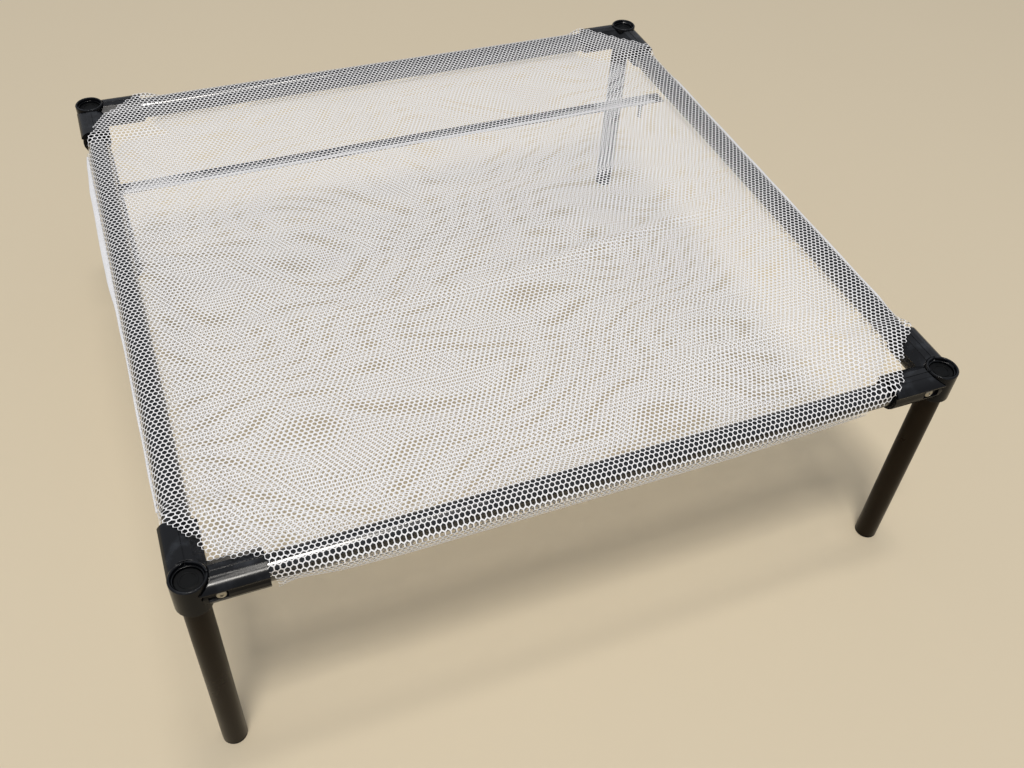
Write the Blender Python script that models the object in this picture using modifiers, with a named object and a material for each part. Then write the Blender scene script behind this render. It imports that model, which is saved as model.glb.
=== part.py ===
"""Elevated cat bed.

Four rails and four legs of round steel tube meet in moulded corner connectors. A zipped net
bag with its corners cut off is pulled over the rails as the lying surface.
The origin is on the floor under the middle of the bed. X runs along the front rail.
"""
import math

import bmesh
import bpy
from mathutils import Matrix, Vector

# Driving sizes of the frame, in metres
rail_span = 0.580            # between the centre lines of opposite rails
bed_height = 0.212           # floor to the rim of a hub
tube_diameter = 0.019
tube_wall = 0.0010
fit_gap = 0.0003             # between pieces that touch
cut_margin = 0.002           # cutting shapes go this far past a surface

# Corner connector
sleeve_wall = 0.0028         # plastic round a rail
hub_wall = 0.0031            # plastic round a leg
rim_rise = 0.0010            # rim of the hub above the arms
hub_skirt = 0.0004           # hub below the arms
arm_reach = 0.0487           # leg's centre line to the end of an arm
socket_floor = 0.0011        # hub's outer face to the end of a rail
recess_depth = 0.0030
recess_step = 0.0007         # recess wider than the bore
rim_round = 0.0008
lip_level = 0.0056           # underside of the arm's upper shell above the rail's centre line
lip_thickness = 0.0010
lip_overhang = 0.0005        # shell wider than the sleeve
lip_slope = 0.0005           # fall of the shell's underside towards the sleeve
shell_round_level = 0.0046   # middle of the shell's round side above the rail's centre line
strip_edge = 0.0056          # inner strip's edge, from the rail's centre line
ridge_edge = 0.0043          # outer ridge, from the rail's centre line
ridge_step = 0.0007
line_width = 0.0006          # groove along the top of an arm
line_depth = 0.0005
collar_groove = 0.0007       # gap round the hub's collar
groove_depth = 0.0009
groove_lap = 0.0042          # groove's floor runs this far into an arm
notch_reach = 0.0010         # notch's point past the hub's outer face
notch_outer = 0.0020         # notch's base, outwards of the arm's middle
notch_inner = 0.0007
notch_base = 0.0078          # leg's centre line to the notch's base

# Screws that hold the rails
screw_reach = 0.0174         # leg's centre line to a screw
screw_rise = 0.0015          # screw above the rail's centre line
screw_head_diameter = 0.0070
screw_head_height = 0.0020
screw_head_edge = 0.0007
screw_shank_diameter = 0.0036
screw_grip = 0.0032          # shank inside the tube
pocket_length = 0.0130
pocket_height = 0.0082
pocket_floor = 0.0008        # plastic left under a screw's head

# Leg caps and foot plugs
cap_depth = 0.0040           # rim of the hub to the top of a leg's cap
cap_thickness = 0.0015
cap_ring_diameter = 0.0130
cap_ring_width = 0.0012
cap_ring_rise = 0.0005
foot_thickness = 0.0012
foot_round = 0.0004
plug_length = 0.0090

# Net bag
net_thickness = 0.0008
net_columns = 11             # gaps across the upper panel
net_strand = 0.0062
net_border = 0.022           # rail's centre line to the first gaps
corner_cut = 0.044           # cut line crosses each rail this far from the leg
slack = 0.0060               # lower layer under the rails
belly = 0.0030               # lower front panel below the zip
arm_drape = 0.003            # net keeps the arm's height this far past its end
drape_run = 0.030            # net comes down from an arm to the rail over this length
shoulder = 0.0005            # net's ease round the shell of an arm
arm_squareness = 1.6         # 0 for a round fold over an arm, larger for a squarer one
arm_line = 0.026             # rail's centre line to the first crease beside an arm
seam_width = 0.0052
seam_thickness = 0.0014

# Zip in the lower layer
zip_offset = 0.109           # rail's centre line at the back to the zip
tape_width = 0.0078
zip_slit = 0.0014
coil_width = 0.0018
coil_height = 0.0016
zip_end = 0.014              # rail's centre line to the ends of the coil
hem_width = 0.0060
hem_lap = 0.0017             # hem over the tape's edge
hem_thickness = 0.0011
cover_length = 0.076
cover_thickness = 0.0006
stop_length = 0.0030
slider_length = 0.0100
slider_width = 0.0090
slider_plate = 0.0010
slider_neck = 0.0030
slider_cheek = 0.0010
slider_taper = 0.0022        # narrower at the end away from the neck
slider_round = 0.0012
bridge_length = 0.0064
bridge_height = 0.0034
bridge_bar = 0.0012
bridge_width = 0.0016
pull_length = 0.0170
pull_width = 0.0056
pull_thickness = 0.0010
pull_bar = 0.0011
pull_rim = 0.0012

# Facets
tube_steps = 24
hub_steps = 28
cap_steps = 16
screw_steps = 10
shell_steps = 4
sleeve_steps = 12
wrap_steps = 4
corner_steps = 3
head_steps = 3
smooth_angle = 35.0          # degrees, sharper edges stay crisp
flat_angle = 0.05            # degrees, faces that turn less are joined
weld = 0.00001

# Sizes that follow
half_span = rail_span / 2
tube_radius = tube_diameter / 2
bore_radius = tube_radius + fit_gap
sleeve_radius = bore_radius + sleeve_wall
hub_radius = bore_radius + hub_wall
shell_half_width = sleeve_radius + lip_overhang
lip_top = lip_level + lip_thickness
rim_level = sleeve_radius + rim_rise
skirt_level = -sleeve_radius - hub_skirt
rail_level = bed_height - rim_level
socket_start = hub_radius + socket_floor
screw_head_radius = screw_head_diameter / 2
screw_shank_radius = screw_shank_diameter / 2
screw_seat = bore_radius + pocket_floor
screw_hole_radius = screw_shank_radius + fit_gap
plug_radius = tube_radius - tube_wall - fit_gap
cap_top = bed_height - cap_depth
leg_bottom = foot_thickness + fit_gap
leg_top = cap_top - cap_thickness - fit_gap
net_radius = tube_radius + fit_gap + net_thickness / 2
cloth_wrap = net_radius * math.pi / 2 - fit_gap / 2
arm_net_width = shell_half_width + fit_gap + net_thickness / 2 + shoulder
arm_net_height = sleeve_radius + fit_gap + net_thickness / 2
drape_start = arm_reach + arm_drape
low_level = tube_radius + slack + net_thickness / 2
zip_y = half_span - zip_offset
zip_half_length = half_span - zip_end
tape_outer = zip_slit / 2 + tape_width
layer_top = -low_level + net_thickness / 2
layer_bottom = -low_level - net_thickness / 2
coil_top = layer_bottom - fit_gap
coil_bottom = coil_top - coil_height
stop_centre = zip_half_length - 2 * stop_length
slider_rest = stop_centre - (stop_length + slider_length) / 2 - fit_gap
slider_top = layer_top + fit_gap + slider_plate
slider_bottom = coil_bottom - fit_gap - slider_plate
pull_axis = slider_bottom - (bridge_height - bridge_bar) / 2

parts = bpy.data.collections.new("elevated_cat_bed")
workbench = bpy.data.collections.new("workbench")


def clear_scene():
    for thing in list(bpy.data.objects):
        bpy.data.objects.remove(thing, do_unlink=True)
    bpy.context.scene.collection.children.link(parts)
    bpy.context.scene.collection.children.link(workbench)


def material(name, colour, roughness, metallic):
    shade = bpy.data.materials.new(name)
    shade.use_nodes = True
    principled = shade.node_tree.nodes["Principled BSDF"]
    principled.inputs["Base Color"].default_value = (*colour, 1.0)
    principled.inputs["Roughness"].default_value = roughness
    principled.inputs["Metallic"].default_value = metallic
    shade.diffuse_color = (*colour, 1.0)
    return shade


# General modelling helpers

def mesh_object(name, mesh, group=workbench):
    thing = bpy.data.objects.new(name, mesh)
    group.objects.link(thing)
    return thing


def from_bmesh(name, shape):
    mesh = bpy.data.meshes.new(name)
    shape.to_mesh(mesh)
    shape.free()
    return mesh_object(name, mesh)


def baked(thing, weld_by=0.0):
    """Replace an object on the workbench by its evaluated mesh."""
    bpy.context.view_layer.update()
    graph = bpy.context.evaluated_depsgraph_get()
    mesh = bpy.data.meshes.new_from_object(thing.evaluated_get(graph))
    if weld_by:
        shape = bmesh.new()
        shape.from_mesh(mesh)
        bmesh.ops.remove_doubles(shape, verts=shape.verts, dist=weld_by)
        shape.to_mesh(mesh)
        shape.free()
    mesh.transform(thing.matrix_world)
    name = thing.name
    bpy.data.objects.remove(thing, do_unlink=True)
    return mesh_object(name, mesh)


def combined(body, tool, operation):
    """Boolean of two workbench objects, which leaves only the result."""
    step = body.modifiers.new("combine", "BOOLEAN")
    step.operation = operation
    step.object = tool
    step.solver = "EXACT"
    result = baked(body)
    bpy.data.objects.remove(tool, do_unlink=True)
    return result


def cut(body, tool):
    return combined(body, tool, "DIFFERENCE")


def fused(body, tool):
    return combined(body, tool, "UNION")


def turned(name, profile, steps, ring=False):
    """Solid turned about Z from a profile that runs down its outer side."""
    mesh = bpy.data.meshes.new(name)
    points = [(radius, 0.0, height) for radius, height in profile]
    edges = [(i, i + 1) for i in range(len(points) - 1)]
    if ring:
        edges.append((len(points) - 1, 0))
    mesh.from_pydata(points, edges, [])
    thing = mesh_object(name, mesh)
    screw = thing.modifiers.new("turn", "SCREW")
    screw.steps = steps
    screw.render_steps = steps
    screw.use_merge_vertices = True
    screw.merge_threshold = weld
    return baked(thing)


def cylinder(name, radius, low, high, steps):
    return turned(name, [(0.0, high), (radius, high), (radius, low), (0.0, low)], steps)


def plate(name, outlines, thickness):
    """Flat outline in the XY plane with holes, as thick as said, centred on Z = 0."""
    curve = bpy.data.curves.new(name, "CURVE")
    curve.dimensions = "2D"
    curve.fill_mode = "BOTH"
    curve.extrude = thickness / 2
    for outline in outlines:
        spline = curve.splines.new("POLY")
        spline.points.add(len(outline) - 1)
        for point, (x, y) in zip(spline.points, outline):
            point.co = (x, y, 0.0, 1.0)
        spline.use_cyclic_u = True
    return baked(mesh_object(name, curve), weld_by=weld)


def box(name, low, high):
    shape = bmesh.new()
    bmesh.ops.create_cube(shape, size=1.0)
    size = Vector(high) - Vector(low)
    bmesh.ops.scale(shape, vec=size, verts=shape.verts)
    bmesh.ops.translate(shape, vec=(Vector(high) + Vector(low)) / 2, verts=shape.verts)
    return from_bmesh(name, shape)


def join_flat(shape):
    """Join the faces that lie in one plane."""
    shape.normal_update()
    bmesh.ops.dissolve_limit(
        shape, angle_limit=math.radians(flat_angle), verts=shape.verts, edges=shape.edges
    )


def moved(thing, matrix):
    thing.data.transform(matrix)
    thing.data.update()
    return thing


def along(outward, run):
    """Frame whose X is outward, Y is up and Z lies along an arm, for plates and turnings."""
    up = Vector((0.0, 0.0, 1.0))
    outward = Vector(outward)
    return Matrix((outward, up, outward.cross(up))).transposed().to_4x4(), Vector(run)


arm_frames = (along((0.0, -1.0, 0.0), (1.0, 0.0, 0.0)), along((-1.0, 0.0, 0.0), (0.0, 1.0, 0.0)))


def seat(name, mesh, shade, location=(0.0, 0.0, 0.0), turn=(0.0, 0.0, 0.0)):
    """Put a finished piece into the bed, under its own name and material."""
    mesh.materials.clear()
    mesh.materials.append(shade)
    mesh.shade_smooth()
    mesh.set_sharp_from_angle(angle=math.radians(smooth_angle))
    thing = mesh_object(name, mesh, parts)
    thing.location = location
    thing.rotation_euler = turn
    return thing


def finished(thing):
    """Mesh of a workbench object, which is removed."""
    mesh = thing.data
    bpy.data.objects.remove(thing, do_unlink=True)
    return mesh


# Corner connector, modelled with its hub on the origin and the rails' centre lines at Z = 0

def arm_outline():
    """Section of an arm: X is away from the bed, Y is up."""
    points = [(shell_half_width, lip_level), (shell_half_width, lip_top)]
    half_width = shell_half_width - ridge_edge
    crown = sleeve_radius - ridge_step
    round_height = crown - shell_round_level
    start = math.asin((lip_top - shell_round_level) / round_height)
    for step in range(1, shell_steps + 1):
        turn = start + (math.pi / 2 - start) * step / shell_steps
        x = ridge_edge + half_width * math.cos(turn)
        points.append((x, shell_round_level + round_height * math.sin(turn)))
    points.append((ridge_edge, sleeve_radius - ridge_step / 3))
    points.append((0.0, sleeve_radius))
    points.append((0.0, sleeve_radius - line_depth))
    points.append((-line_width, sleeve_radius - line_depth))
    points.append((-line_width, sleeve_radius))
    points.append((-strip_edge, crown))
    points.append((-strip_edge, crown - ridge_step))
    points.append((-shell_half_width, lip_top))
    points.append((-shell_half_width, lip_level))
    meet = math.asin((lip_level - lip_slope) / sleeve_radius)
    for step in range(sleeve_steps + 1):
        turn = math.pi - meet + (math.pi + 2 * meet) * step / sleeve_steps
        points.append((sleeve_radius * math.cos(turn), sleeve_radius * math.sin(turn)))
    return points


def connector_arm(frame, run):
    """Arm with its shell, from the groove round the hub's collar to its end."""
    arm = plate("arm", [arm_outline()], arm_reach)
    moved(arm, Matrix.Translation(run * arm_reach / 2) @ frame)
    height = rim_level + cut_margin
    arm = cut(arm, cylinder("collar", hub_radius + collar_groove, -height, height, hub_steps))
    core_end = hub_radius + groove_lap
    core = cylinder("core", sleeve_radius - groove_depth, 0.0, core_end, tube_steps)
    moved(core, arm_turn(run))
    return fused(arm, core)


def arm_turn(run):
    """Turn a shape that points up so that it points along an arm."""
    return Vector((0.0, 0.0, 1.0)).rotation_difference(run).to_matrix().to_4x4()


def hub_notch(outward, run):
    """Pointed notch from the hub's recess towards an arm."""
    point = hub_radius + notch_reach
    flat = [
        (run * point).to_2d(),
        (run * notch_base + outward * notch_outer).to_2d(),
        (run * notch_base - outward * notch_inner).to_2d(),
    ]
    notch = plate("notch", [flat], recess_depth * 2)
    return moved(notch, Matrix.Translation((0.0, 0.0, rim_level)))


def screw_pocket(outward, run):
    """Pocket under the shell, for the head of the screw that holds the rail."""
    end = screw_reach + screw_head_radius + 3 * fit_gap
    low = run * (end - pocket_length) + outward * screw_seat
    high = run * end + outward * (shell_half_width + cut_margin)
    low.z = lip_level - pocket_height
    high.z = lip_level
    corners = (Vector(map(min, low, high)), Vector(map(max, low, high)))
    return box("pocket", *corners)


def toward(outward, run, reach):
    """Frame on a screw's axis, with Z pointing out of the bed."""
    turn = Vector((0.0, 0.0, 1.0)).rotation_difference(outward).to_matrix().to_4x4()
    return Matrix.Translation(run * reach + Vector((0.0, 0.0, screw_rise))) @ turn


def corner_connector():
    profile = [
        (0.0, rim_level),
        (hub_radius - rim_round, rim_level),
        (hub_radius, rim_level - rim_round),
        (hub_radius, skirt_level),
        (0.0, skirt_level),
    ]
    body = turned("connector", profile, hub_steps)
    outwards = (Vector((0.0, -1.0, 0.0)), Vector((-1.0, 0.0, 0.0)))
    for frame, run in arm_frames:
        body = fused(body, connector_arm(frame, run))
    recess_radius = bore_radius + recess_step
    bore = [
        (0.0, rim_level + rim_rise),
        (recess_radius + rim_round + rim_rise, rim_level + rim_rise),
        (recess_radius, rim_level - rim_round),
        (recess_radius, rim_level - recess_depth),
        (bore_radius, rim_level - recess_depth),
        (bore_radius, skirt_level - rim_rise),
        (0.0, skirt_level - rim_rise),
    ]
    body = cut(body, turned("bore", bore, hub_steps))
    for outward, (frame, run) in zip(outwards, arm_frames):
        socket = cylinder("socket", bore_radius, socket_start, arm_reach * 2, tube_steps)
        body = cut(body, moved(socket, arm_turn(run)))
        body = cut(body, screw_pocket(outward, run))
        start, end = bore_radius - cut_margin, screw_seat + cut_margin
        hole = cylinder("hole", screw_hole_radius, start, end, screw_steps)
        body = cut(body, moved(hole, toward(outward, run, screw_reach)))
        body = cut(body, hub_notch(outward, run))
    shape = bmesh.new()
    shape.from_mesh(finished(body))
    bmesh.ops.remove_doubles(shape, verts=shape.verts, dist=weld)
    join_flat(shape)
    return finished(from_bmesh("connector", shape))


# Tubes, caps and screws

def tube_mesh(name, length):
    """Tube along Z from 0 to its length."""
    inner = tube_radius - tube_wall
    profile = [(tube_radius, length), (tube_radius, 0.0), (inner, 0.0), (inner, length)]
    return turned(name, profile, tube_steps, ring=True)


def rail_mesh():
    """Rail along X about its middle, with a screw hole at each end facing -Y."""
    length = rail_span - 2 * (socket_start + fit_gap)
    tube = tube_mesh("rail", length)
    lay = Matrix.Rotation(math.pi / 2, 4, "Y") @ Matrix.Translation((0.0, 0.0, -length / 2))
    moved(tube, lay)
    outward = Vector((0.0, -1.0, 0.0))
    start, end = tube_radius - tube_wall - cut_margin, tube_radius + cut_margin
    for side in (-1, 1):
        hole = cylinder("hole", screw_hole_radius, start, end, screw_steps)
        run = Vector((side, 0.0, 0.0))
        tube = cut(tube, moved(hole, toward(outward, run, half_span - screw_reach)))
    return finished(tube)


def leg_cap_mesh():
    """Push-in cap with a raised ring, its top at Z = 0."""
    ring = cap_ring_diameter / 2
    profile = [
        (0.0, 0.0),
        (ring - cap_ring_width, 0.0),
        (ring - cap_ring_width, cap_ring_rise),
        (ring, cap_ring_rise),
        (ring, 0.0),
        (tube_radius - foot_round, 0.0),
        (tube_radius, -foot_round),
        (tube_radius, -cap_thickness),
        (plug_radius, -cap_thickness),
        (plug_radius, -cap_thickness - plug_length),
        (0.0, -cap_thickness - plug_length),
    ]
    return finished(turned("leg_cap", profile, cap_steps))


def foot_plug_mesh():
    """Push-in foot, its flat sole at Z = 0."""
    profile = [
        (0.0, foot_thickness + plug_length),
        (plug_radius, foot_thickness + plug_length),
        (plug_radius, foot_thickness),
        (tube_radius, foot_thickness),
        (tube_radius, foot_round),
        (tube_radius - foot_round, 0.0),
        (0.0, 0.0),
    ]
    return finished(turned("foot_plug", profile, tube_steps))


def screw_solid():
    """Pan-head screw along Z, the underside of its head at Z = 0."""
    profile = [(0.0, screw_head_height)]
    crown = screw_head_height - screw_head_edge
    for step in range(1, head_steps + 1):
        turn = math.pi / 2 * step / head_steps
        profile.append((screw_head_radius * math.sin(turn), screw_head_edge + crown * math.cos(turn)))
    profile.append((screw_head_radius, 0.0))
    tip = -(screw_seat + fit_gap - tube_radius + tube_wall + screw_grip)
    profile.append((screw_shank_radius, 0.0))
    profile.append((screw_shank_radius, tip + screw_shank_radius))
    profile.append((0.0, tip))
    return turned("screw", profile, screw_steps)


# Cloth, laid out flat in U and V and folded over the rails

def smooth_fall(value, start, run):
    """1 up to start, then falling smoothly to 0 over the run."""
    share = min(max((value - start) / run, 0.0), 1.0)
    return 1.0 - share * share * (3.0 - 2.0 * share)


def fold(distance, arm_share, lift, low):
    """Place across a rail of a point this far past its centre line, on the flat cloth."""
    turn = min(max(distance / net_radius, 0.0), math.pi / 2)
    width = net_radius + arm_share * (arm_net_width - net_radius) + lift
    height = net_radius + arm_share * (arm_net_height - net_radius) + lift
    power = 2.0 / (2.0 + arm_squareness * arm_share)
    if low:
        height = low_level + lift
    across = width * math.sin(turn) ** power
    rise = height * max(math.cos(turn), 0.0) ** power
    return across, rise


def bent(point, low, hang):
    """Place of a point of the flat cloth once it is pulled over the rails or under them."""
    u, v, lift = point
    from_u = half_span - abs(u)
    from_v = half_span - abs(v)
    arm_share = smooth_fall(max(from_u, from_v), drape_start, drape_run)
    x, y = u, v
    if from_u < 0.0:
        across, rise = fold(-from_u, arm_share, lift, low)
        x = math.copysign(half_span + across, u)
    elif from_v < 0.0:
        across, rise = fold(-from_v, arm_share, lift, low)
        y = math.copysign(half_span + across, v)
    else:
        rise = fold(0.0, arm_share, lift, low)[1]
        rise += hang(u, v) if hang else 0.0
    return Vector((x, y, rail_level - rise if low else rail_level + rise))


def cloth_outline(front, back):
    """Outline of the flat cloth between two places along V, its corners cut off."""
    edge = half_span + cloth_wrap
    diagonal = rail_span - corner_cut
    cuts = [v for v in (edge - diagonal, diagonal - edge) if front < v < back]
    right = [(min(edge, diagonal - abs(v)), v) for v in (front, *cuts, back)]
    return right + [(-u, v) for u, v in reversed(right)]


def both_sides(distances):
    """Lines these distances in from the rails' centre lines, on both sides of the middle."""
    return [side * (half_span - distance) for side in (-1, 1) for distance in distances]


def by_a_corner(face):
    """True for a face of the flat cloth near two rails, where it comes down from the arms."""
    middle = face.calc_center_bounds()
    return min(abs(middle.x), abs(middle.y)) > half_span - drape_start - drape_run


def creased(shape, lines, where=None):
    """Divide the flat cloth, or some of its faces, along lines across U and across V."""
    for normal in (Vector((1.0, 0.0, 0.0)), Vector((0.0, 1.0, 0.0))):
        for line in lines:
            area = [face for face in shape.faces if where is None or where(face)]
            around = {thing for face in area for thing in (*face.verts, *face.edges)}
            bmesh.ops.bisect_plane(
                shape, geom=area + list(around), dist=weld / 10, plane_co=normal * line,
                plane_no=normal,
            )


def cloth(name, front, back, low, hang=None, gaps=(), stops=()):
    """One panel of the bag, cut flat between two places along V and bent over the rails."""
    shape = bmesh.new()
    shape.from_mesh(finished(plate(name, [cloth_outline(front, back), *gaps], net_thickness)))
    folds = [-cloth_wrap * step / wrap_steps for step in range(wrap_steps)]
    creased(shape, both_sides(folds + [drape_start + drape_run]) + list(stops))
    creased(shape, both_sides([arm_line, drape_start, drape_start + drape_run / 2]), by_a_corner)
    for point in shape.verts:
        point.co = bent(point.co, low, hang)
    join_flat(shape)
    bmesh.ops.recalc_face_normals(shape, faces=shape.faces)
    return finished(from_bmesh(name, shape))


def belly_hang(u, v):
    """How far the lower panel in front of the zip hangs below the zip."""
    share = (v + half_span) / (zip_y - tape_outer + half_span)
    return belly * 4 * share * (1 - share) * (1 - (u / half_span) ** 2)


def net_gaps():
    """Hexagons in staggered rows on the flat cloth, clear of the rails and the cut corners."""
    inner = half_span - net_border
    pitch = 2 * inner / (net_columns + 0.5)
    row_pitch = pitch * math.sqrt(3) / 2
    rows = int(2 * inner / row_pitch)
    radius = (pitch - net_strand) / math.sqrt(3)
    shift = pitch / 4
    gaps = []
    for row in range(rows):
        v = (row - (rows - 1) / 2) * row_pitch
        shift = -shift
        for column in range(net_columns):
            u = (column - (net_columns - 1) / 2) * pitch + shift
            if rail_span - abs(u) - abs(v) < corner_cut + pitch:
                continue
            turns = [math.pi / 3 * (corner + 0.5) for corner in range(6)]
            gaps.append([(u + radius * math.cos(t), v + radius * math.sin(t)) for t in turns])
    return gaps


def strip(name, x_from, x_to, y_from, y_to, z_from, z_to):
    """Flat strip, its height given from the rails' centre lines."""
    low = (x_from, y_from, rail_level + z_from)
    high = (x_to, y_to, rail_level + z_to)
    return finished(box(name, low, high))


# Zip slider, with its middle over the slit of the zip and Z = 0 at the rails' centre lines

def rounded(length, width, round_by, taper=0.0):
    """Outline of a plate with round corners, narrower at -X by the taper."""
    points = []
    corners = ((1, 1, 0), (-1, 1, 90), (-1, -1, 180), (1, -1, 270))
    for side_x, side_y, start in corners:
        half = width / 2 - (taper / 2 if side_x < 0 else 0.0)
        centre_x = side_x * (length / 2 - round_by)
        centre_y = side_y * (half - round_by)
        for step in range(corner_steps + 1):
            turn = math.radians(start + 90 * step / corner_steps)
            points.append((centre_x + round_by * math.cos(turn), centre_y + round_by * math.sin(turn)))
    return points


def slider_mesh():
    outline = rounded(slider_length, slider_width, slider_round, slider_taper)
    upper = plate("upper_plate", [outline], slider_plate)
    moved(upper, Matrix.Translation((0.0, 0.0, slider_top - slider_plate / 2)))
    lower = plate("lower_plate", [outline], slider_plate)
    moved(lower, Matrix.Translation((0.0, 0.0, slider_bottom + slider_plate / 2)))
    neck_half = zip_slit / 2 - fit_gap
    neck_end = slider_length / 2 - slider_round
    bury = slider_plate / 2
    neck = box(
        "neck",
        (neck_end - slider_neck, -neck_half, slider_bottom + bury),
        (neck_end, neck_half, slider_top - bury),
    )
    body = fused(fused(lower, upper), neck)
    cheek_inner = zip_slit / 2 + coil_width + fit_gap
    cheek_end = slider_length / 2 - slider_round * 2
    for side in (-1, 1):
        edges = sorted((side * cheek_inner, side * (cheek_inner + slider_cheek)))
        cheek = box(
            "cheek",
            (-cheek_end, edges[0], slider_bottom + bury),
            (cheek_end, edges[1], layer_bottom - fit_gap),
        )
        body = fused(body, cheek)
    arch = rounded(bridge_length, 2 * bridge_height, bridge_bar)
    hole = rounded(bridge_length - 2 * bridge_bar, 2 * (bridge_height - bridge_bar), bridge_bar / 2)
    bridge = plate("bridge", [arch, hole], bridge_width)
    moved(bridge, Matrix.Rotation(math.pi / 2, 4, "X"))
    reach = bridge_length
    bridge = cut(bridge, box("above", (-reach, -reach, bury), (reach, reach, reach)))
    moved(bridge, Matrix.Translation((0.0, 0.0, slider_bottom)))
    return finished(fused(body, bridge))


def pull_mesh():
    """Pull tab hanging down, the middle of its bar on the origin, lying in the YZ plane."""
    corner = math.hypot(bridge_length / 2, (bridge_height + bridge_bar) / 2)
    window_end = corner + fit_gap
    top = pull_bar / 2
    outline = rounded(pull_length, pull_width, slider_round)
    shift = top - pull_length / 2
    outer = [(y, x + shift) for x, y in outline]
    side = pull_width / 2 - pull_rim
    window = [(-side, -top), (side, -top), (side, -window_end), (-side, -window_end)]
    tab = plate("pull", [outer, window], pull_thickness)
    upright = Matrix.Rotation(math.pi / 2, 4, "Z") @ Matrix.Rotation(math.pi / 2, 4, "X")
    return finished(moved(tab, upright))


def build_frame(shades):
    connector = corner_connector()
    corners = (
        ("front_left", -1, -1, 0.0),
        ("front_right", 1, -1, math.pi / 2),
        ("back_right", 1, 1, math.pi),
        ("back_left", -1, 1, -math.pi / 2),
    )
    leg = finished(tube_mesh("leg", leg_top - leg_bottom))
    cap = leg_cap_mesh()
    foot = foot_plug_mesh()
    for name, side_x, side_y, turn in corners:
        x, y = side_x * half_span, side_y * half_span
        spin = (0.0, 0.0, turn)
        seat("corner_" + name, connector.copy(), shades["connector"], (x, y, rail_level), spin)
        seat("leg_" + name, leg.copy(), shades["tube"], (x, y, leg_bottom))
        seat("leg_cap_" + name, cap.copy(), shades["cap"], (x, y, cap_top))
        seat("foot_plug_" + name, foot.copy(), shades["cap"], (x, y, 0.0))
    rail = rail_mesh()
    sides = (
        ("front", 0.0, -half_span, 0.0),
        ("right", half_span, 0.0, math.pi / 2),
        ("back", 0.0, half_span, math.pi),
        ("left", -half_span, 0.0, -math.pi / 2),
    )
    for name, x, y, turn in sides:
        seat("rail_" + name, rail.copy(), shades["tube"], (x, y, rail_level), (0.0, 0.0, turn))
    build_screws(shades["screw"], sides)


def build_screws(shade, sides):
    """A screw near each end of every rail, its head in the connector's pocket."""
    screw = finished(screw_solid())
    out = half_span + screw_seat + fit_gap
    for name, _, _, turn in sides:
        for end, side in (("a", -1), ("b", 1)):
            reach = Vector((side * (half_span - screw_reach), -out, rail_level + screw_rise))
            reach.rotate(Matrix.Rotation(turn, 3, "Z"))
            seat("screw_" + name + "_" + end, screw.copy(), shade, reach, (math.pi / 2, 0.0, turn))


def build_net(shades):
    edge = half_span + cloth_wrap
    seat("net_top", cloth("top", -edge, edge, False, gaps=net_gaps()), shades["net"])
    zip_front = zip_y - tape_outer - fit_gap
    zip_back = zip_y + tape_outer + fit_gap
    stops = [-half_span / 2, 0.0, half_span / 2]
    front = cloth("lower", -edge, zip_front, True, belly_hang, stops=stops)
    seat("net_lower_front", front, shades["net"])
    seat("net_lower_back", cloth("lower", zip_back, edge, True), shades["net"])
    tapes = (("front", -1), ("back", 1))
    for name, side in tapes:
        edges = sorted((zip_y + side * zip_slit / 2, zip_y + side * tape_outer))
        tape = cloth("tape", edges[0], edges[1], True)
        seat("zip_tape_" + name, tape, shades["tape"])
    seam_in = half_span + net_radius + net_thickness / 2 + fit_gap
    seam_end = half_span - drape_start - drape_run
    for name, side in (("left", -1), ("right", 1)):
        edges = sorted((side * seam_in, side * (seam_in + seam_width)))
        thick = seam_thickness / 2
        mesh = strip("seam", edges[0], edges[1], -seam_end, seam_end, -thick, thick)
        seat("net_seam_" + name, mesh, shades["net"])


def build_zip(shades):
    hem_low = layer_top + fit_gap
    hem_top = hem_low + hem_thickness
    for name, side in (("front", -1), ("back", 1)):
        near = side * (tape_outer - hem_lap)
        edges = sorted((zip_y + near, zip_y + near + side * hem_width))
        mesh = strip("hem", -zip_half_length, zip_half_length, edges[0], edges[1], hem_low, hem_top)
        seat("zip_hem_" + name, mesh, shades["net"])
        coil = sorted((zip_y + side * zip_slit / 2, zip_y + side * (zip_slit / 2 + coil_width)))
        mesh = strip("coil", -zip_half_length, zip_half_length, coil[0], coil[1], coil_bottom, coil_top)
        seat("zip_coil_" + name, mesh, shades["coil"])
    cover_low = hem_top + fit_gap
    cover_side = tape_outer - hem_lap + hem_width / 2
    stop_side = zip_slit / 2 + coil_width
    for name, side in (("left", -1), ("right", 1)):
        ends = sorted((side * zip_half_length, side * (zip_half_length - cover_length)))
        mesh = strip(
            "cover", ends[0], ends[1], zip_y - cover_side, zip_y + cover_side,
            cover_low, cover_low + cover_thickness,
        )
        seat("zip_cover_" + name, mesh, shades["net"])
        centre = side * stop_centre
        mesh = strip(
            "stop", centre - stop_length / 2, centre + stop_length / 2, zip_y - stop_side,
            zip_y + stop_side, coil_bottom - fit_gap - slider_plate, coil_bottom - fit_gap,
        )
        seat("zip_stop_" + name, mesh, shades["coil"])
    slider = seat("zip_slider", slider_mesh(), shades["slider"], (slider_rest, zip_y, rail_level))
    pull = seat("zip_pull", pull_mesh(), shades["slider"], (0.0, 0.0, pull_axis))
    pull.parent = slider


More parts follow.
